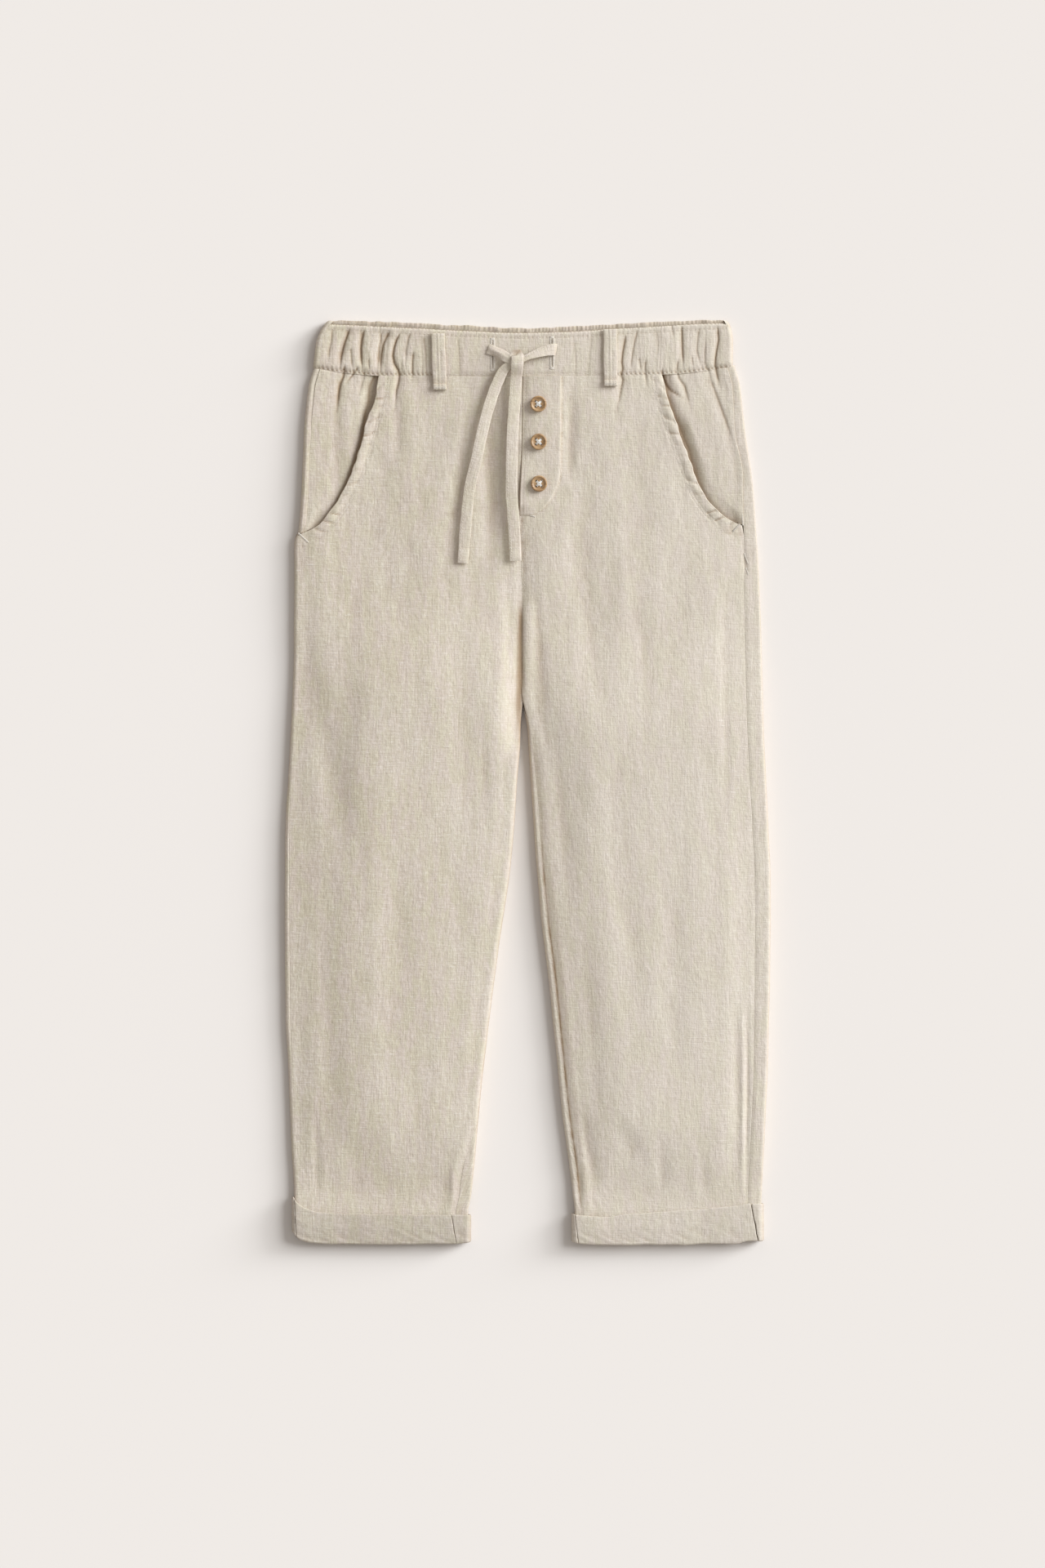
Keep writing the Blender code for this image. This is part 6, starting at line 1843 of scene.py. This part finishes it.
def make_buttons(wood, thread):
    for number, spot in enumerate(BUTTONS, start=1):
        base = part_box(f"button_{number}")[0][2] / MM
        bm = bmesh.new()
        sides = 56
        rings = []
        for point in BUTTON_PROFILE[1:-1]:
            ring = []
            for k in range(sides):
                angle = 2 * math.pi * k / sides
                reach = point.radius * BUTTON_RADIUS
                z = base + point.height * BUTTON_HEIGHT
                place = (spot.x + reach * math.cos(angle), spot.y + reach * math.sin(angle), z)
                ring.append(bm.verts.new(Vector(place) * MM))
            rings.append(ring)
        bm.faces.new(rings[0][::-1])
        bm.faces.new(rings[-1])
        for low, high in zip(rings, rings[1:]):
            for k in range(sides):
                m = (k + 1) % sides
                bm.faces.new((low[k], low[m], high[m], high[k]))
        data = bpy.data.meshes.new(f"button_{number}_wood")
        bm.to_mesh(data)
        bm.free()
        piece = add_piece(f"button_{number}_wood", data, wood)
        drill(piece, spot, base)
        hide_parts(f"button_{number}")
        make_button_thread(number, spot, base, thread)


def drill(piece, spot, base):
    """Cuts the four holes through a button."""
    bm = bmesh.new()
    for across in (-1, 1):
        for up in (-1, 1):
            made = bmesh.ops.create_cone(bm, cap_ends=True, segments=20, radius1=BUTTON_HOLE_RADIUS * MM,
                                         radius2=BUTTON_HOLE_RADIUS * MM, depth=4 * BUTTON_HEIGHT * MM)
            place = (spot.x + across * BUTTON_HOLE_PLACE, spot.y + up * BUTTON_HOLE_PLACE, base)
            bmesh.ops.translate(bm, verts=made["verts"], vec=Vector(place) * MM)
    data = bpy.data.meshes.new("drill")
    bm.to_mesh(data)
    bm.free()
    tool = bpy.data.objects.new("drill", data)
    bpy.context.scene.collection.objects.link(tool)
    cut = piece.modifiers.new("holes", "BOOLEAN")
    cut.operation = "DIFFERENCE"
    cut.object = tool
    soften = piece.modifiers.new("soften", "BEVEL")
    soften.width = 0.12 * MM
    soften.segments = 2
    soften.angle_limit = math.radians(40.0)
    graph = bpy.context.evaluated_depsgraph_get()
    mesh = bpy.data.meshes.new_from_object(piece.evaluated_get(graph))
    piece.modifiers.clear()
    piece.data = mesh
    mesh.shade_smooth()
    mesh.set_sharp_from_angle(angle=math.radians(38.0))
    bpy.data.objects.remove(tool)


def make_button_thread(number, spot, base, look):
    """Threads that cross between the holes, over a short shank under the button."""
    segments = []
    low = base + 0.66 * BUTTON_HEIGHT - 0.5
    high = base + 0.66 * BUTTON_HEIGHT + 0.28
    place = BUTTON_HOLE_PLACE
    for way in (1, -1):
        for k, shift in enumerate((-0.36, 0.0, 0.36)):
            a = (spot.x - place + shift, spot.y - way * place - way * shift)
            b = (spot.x + place + shift, spot.y + way * place - way * shift)
            rise = high + 0.22 * (way < 0) + 0.1 * k
            stops = [(0.0, low), (0.14, high - 0.05), (0.5, rise), (0.86, high - 0.05), (1.0, low)]
            points = [(mix(a[0], b[0], s), mix(a[1], b[1], s), z) for s, z in stops]
            segments += list(zip(points, points[1:]))
    return rods(f"button_{number}_thread", segments, 0.27, look, 6)


# ---------------------------------------------------------------- drawstring

TAPE_THICK = 0.62

# Each cord from its buttonhole: the lead, the turn at the knot, the free tail. crease is how far the
# lower edge of the tape folds down, in degrees.
CORD_FROM_RIGHT = table(
    Tape, (-27.2, 298, 6.7, 7, 0, 0), (-25.6, 297.4, 7.6, 7.4, 14, 30), (-22.6, 296.2, 8.7, 7.6, 24, 52),
    (-18.8, 294.4, 9.4, 7.4, 18, 40), (-15.2, 292.2, 9.8, 7, 8, 14), (-12.2, 290.8, 10, 6.2, 0, 0),
)
CORD_OVER_KNOT = table(
    Tape, (-7.2, 293.6, 9.4, 8.2, 0, 0), (-7, 293, 11.2, 8.4, 0, 0), (-7, 290.6, 12.1, 8.4, 0, 0),
    (-7.2, 287, 12.2, 8.3, 0, 0), (-7.5, 283.2, 11, 8.2, 0, 0),
)
TAIL_LEFT = table(
    Tape, (-7.8, 279.4, 9.8, 8, 0, 0), (-8.6, 268, 9.2, 8, 4, 0), (-9.8, 250, 8.9, 8.2, 3, 0),
    (-10.6, 234, 9.1, 8.2, 1, 0), (-10.9, 224, 9.2, 8.2, 0, 0), (-11.2, 201, 9.5, 8.2, -3, 0),
    (-10.4, 188, 9.2, 8.2, -3, 0), (-9.7, 179, 8.9, 8.2, -2, 0), (-8.8, 163.4, 8.2, 8.2, 0, 0),
    (-8.4, 152.6, 8, 8.2, 0, 0),
)
CORD_FROM_LEFT = table(
    Tape, (19.6, 297.2, 6.9, 8.2, 0, 0), (18.4, 297.4, 8, 8.2, 0, 0), (12, 296.4, 8.6, 7.4, -6, 0),
    (5, 294.2, 9.4, 5.8, -12, 0), (-1, 291.8, 9.8, 4.4, -14, 0), (-4.4, 290.2, 9.8, 4.2, -8, 0),
)
CORD_UNDER_KNOT = table(
    Tape, (-9.6, 287.8, 9.4, 4.8, 0, 0), (-13.6, 285.8, 9.3, 5.6, 0, 0),
)
TAIL_RIGHT = table(
    Tape, (-16.6, 283, 9.1, 6.6, 0, 0), (-20.2, 276, 8.9, 7.4, 2, 0), (-23.2, 268.5, 8.9, 7.8, 4, 0),
    (-28, 253.4, 9.2, 7.8, 5, 0), (-32.1, 236.6, 9.3, 7.8, 3, 0), (-35.2, 222, 9, 7.8, 0, 0),
    (-40, 201.3, 8.5, 7.8, -3, 0), (-42.4, 178.9, 8.6, 7.8, -3, 0), (-43.8, 160.8, 8.2, 7.8, 0, 0),
    (-44.6, 150.9, 8, 7.8, 0, 0),
)
TAPE_HEM = 9.6  # the folded end of a tape, in millimetres along it
HEM_THICK = 1.3
TAPE_CROWN = 0.15
TAPE_ROW = 1.6  # its row of stitches, in from its edge
SECTION = 13  # points across a tape's section
KNOT_CENTRE = Vector((-7.4, 288.2, 9.3))
KNOT_HALF = (4.6, 4.2, 1.9)


def tape_stations(points, step=1.3):
    """A tape's stations about a step apart, on a smooth curve through its points."""
    runs = runs_of([point[:3] for point in points])
    Run = namedtuple("Run", ("run",) + Tape._fields)
    rows = [Run(run, *point) for run, point in zip(runs, points)]
    stops = np.linspace(0.0, runs[-1], round(runs[-1] / step) + 1)
    return stops, {field: Curve(rows, "run", field)(stops) for field in Tape._fields}


def make_tape(name, points, look, nodes, seed):
    stops, at = tape_stations(points)
    centre = np.stack([at["x"], at["y"], at["z"]], axis=1)
    ahead = np.gradient(centre, axis=0)
    ahead /= np.linalg.norm(ahead, axis=1)[:, None]
    outside, inside, uv = [], [], []
    steps = np.sin(np.linspace(-math.pi / 2, math.pi / 2, SECTION))
    total = stops[-1]
    sideways_before = None
    for i, run in enumerate(stops):
        level = np.array((ahead[i][1], -ahead[i][0], 0.0))
        sideways = level / max(1e-6, np.linalg.norm(level))
        if sideways_before is not None and np.dot(sideways, sideways_before) < 0.2:
            sideways = sideways_before - ahead[i] * np.dot(sideways_before, ahead[i])
            sideways /= np.linalg.norm(sideways)
        sideways_before = sideways
        up = np.cross(sideways, ahead[i])
        roll = math.radians(at["roll"][i])
        flat = sideways * math.cos(roll) + up * math.sin(roll)
        rise = up * math.cos(roll) - sideways * math.sin(roll)
        half = at["width"][i] / 2 + 0.16 * float(ripples(np.array(run), np.array(seed * 7.0), 4.0, 4.0, 31))
        hemmed = float(smooth((run - (total - TAPE_HEM)) / 0.5 + 0.5))
        thick = mix(TAPE_THICK, HEM_THICK, hemmed)
        uneven = 0.12 * ripples(run + 0 * steps, steps * half + seed * 40.0, 7.0, 7.0, 35)
        crown = TAPE_CROWN * (1.0 - steps**2) + uneven
        fold = math.radians(at["crease"][i])
        right = np.clip(steps, 0.0, 1.0) * half
        drop = -right * math.sin(fold)
        pulled = steps * half - right * (1.0 - math.cos(fold))
        end_share = min(1.0, run / 0.5, (total - run) / 0.5)
        round_off = np.sqrt(np.clip(1.0 - np.abs(steps) ** 6, 0.0, 1.0))
        round_off = 0.25 + 0.75 * round_off * math.sqrt(1.0 - (1.0 - end_share) ** 2)
        row_dip = 0.14 * bell(steps * half - (half - TAPE_ROW), 0.5)
        middle = centre[i] + pulled[:, None] * flat + (drop + crown)[:, None] * rise
        outside.append(middle + ((thick / 2 * round_off) - row_dip)[:, None] * rise)
        inside.append(middle - (thick / 2 * round_off)[:, None] * rise)
        uv.append(joined(steps * half + 500.0 + 30.0 * seed, run + 0 * steps))
    piece = closed_mesh(name, np.array(outside), np.array(inside), np.array(uv), look)
    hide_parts(*nodes)
    return piece, stops, np.array(outside), centre, at


def tape_stitches(name, stops, outside, at, look):
    """A row of stitches near a tape's edge, and one across its folded end."""
    segments = []
    total = stops[-1]
    steps = np.sin(np.linspace(-math.pi / 2, math.pi / 2, SECTION))

    def place(run, offset):
        i = np.interp(run, stops, np.arange(len(stops)))
        low, high = int(i), min(int(i) + 1, len(stops) - 1)
        half = np.interp(run, stops, at["width"]) / 2
        point = []
        for k in range(3):
            line = mix(outside[low][:, k], outside[high][:, k], i - low)
            point.append(float(np.interp(offset / half, steps, line)))
        return (point[0], point[1], point[2] + 0.03)

    run = 3.0
    while run < total - 1.5:
        half = np.interp(run, stops, at["width"]) / 2
        segments.append((place(run, half - TAPE_ROW), place(run + 1.35, half - TAPE_ROW)))
        run += 2.0
    offset = -3.2
    while offset < 3.0:
        segments.append((place(total - TAPE_HEM + 0.9, offset), place(total - TAPE_HEM + 0.9, offset + 1.2)))
        offset += 1.8
    return rods(name, segments, 0.14, look)


def make_drawstring(tape_look, thread):
    cords = (
        ("cord_right", CORD_FROM_RIGHT + CORD_OVER_KNOT + TAIL_LEFT,
         ("drawstring_lead_right", "drawstring_tail_left"), 1),
        ("cord_left", CORD_FROM_LEFT + CORD_UNDER_KNOT + TAIL_RIGHT,
         ("drawstring_lead_left", "drawstring_tail_right"), 2),
    )
    for name, points, nodes, seed in cords:
        piece, stops, outside, centre, at = make_tape(f"linen_{name}", points, tape_look, nodes, seed)
        sewn = tape_stitches(f"stitches_{name}", stops, outside, at, thread)
    make_knot(tape_look)


def make_knot(look):
    """The tapes crumpled inside the knot, mostly hidden by the turn that lies over it."""
    bm = bmesh.new()
    bmesh.ops.create_uvsphere(bm, u_segments=40, v_segments=24, radius=1.0)
    for vert in bm.verts:
        d = vert.co.copy()
        square = Vector([math.copysign(abs(c) ** 0.7, c) for c in d])
        wrinkle = 1.0 + 0.05 * math.sin(5.0 * d.x + 3.0 * d.z) + 0.04 * math.sin(9.0 * d.y + 2.0 * d.x)
        reach = Vector([half * share * wrinkle for half, share in zip(KNOT_HALF, square)])
        vert.co = (KNOT_CENTRE + reach) * MM
    data = bpy.data.meshes.new("linen_knot")
    bm.to_mesh(data)
    bm.free()
    layer = data.uv_layers.new(name="weave")
    for loop in data.loops:
        co = data.vertices[loop.vertex_index].co
        layer.uv[loop.index].vector = (co.x + co.z, co.y)
    data.shade_smooth()
    piece = add_piece("linen_knot", data, look)
    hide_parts("drawstring_knot")


# ---------------------------------------------------------------- the cut

# A row for a cloth piece as it was cut, without seam allowances: width and length in metres, area in square
# metres. No pieces are given.
Sheet = namedtuple("Sheet", "piece width length area held rests_on")


# ---------------------------------------------------------------- the garment

make_camera()
make_stage()
cloth = linen("linen", "linen")
tape_cloth = linen("tape_linen", "tape", 1.04)
sewing = thread_look("sewing_thread", (0.80, 0.74, 0.655))
pale_thread = thread_look("button_thread", (0.93, 0.905, 0.855))
# painted shadow for the buttonholes' slits
shadow = thread_look("slit_shade", (0.20, 0.15, 0.10))
wood = wood_look()

make_drawstring(tape_cloth, sewing)
for kind, grids_of in (("front", front_grids), ("back", back_grids)):
    for one in SIDES.values():
        clothe(f"{kind}_{one.name}", grids_of(one), cloth, f"{kind}_{one.name}")
for one in SIDES.values():
    made = bearer_grids(one)
    clothe(f"bearer_{one.name}", made, cloth, f"pocket_bearer_{one.name}", shade_of_opening(one, made))
make_band_front(cloth)
make_band_back(cloth)
# Copies of the linen with painted shade, one for each turn-up
shaded_cuff_looks = {name: linen(f"linen_cuff_{name}", "linen", bright) for name, bright in CUFF_SHADED_BRIGHTNESS.items()}
for one in SIDES.values():
    for part in ("front", "back"):
        name = f"turn_up_{part}_{one.name}"
        clothe(name, turn_up_grids(one, part), shaded_cuff_looks[one.name], name)
make_fly(cloth)
make_loops(cloth)
make_panel_stitches(sewing)
make_bartacks(sewing)
make_loop_stitches(sewing)
make_buttonholes(sewing, shadow)
make_buttons(wood, pale_thread)
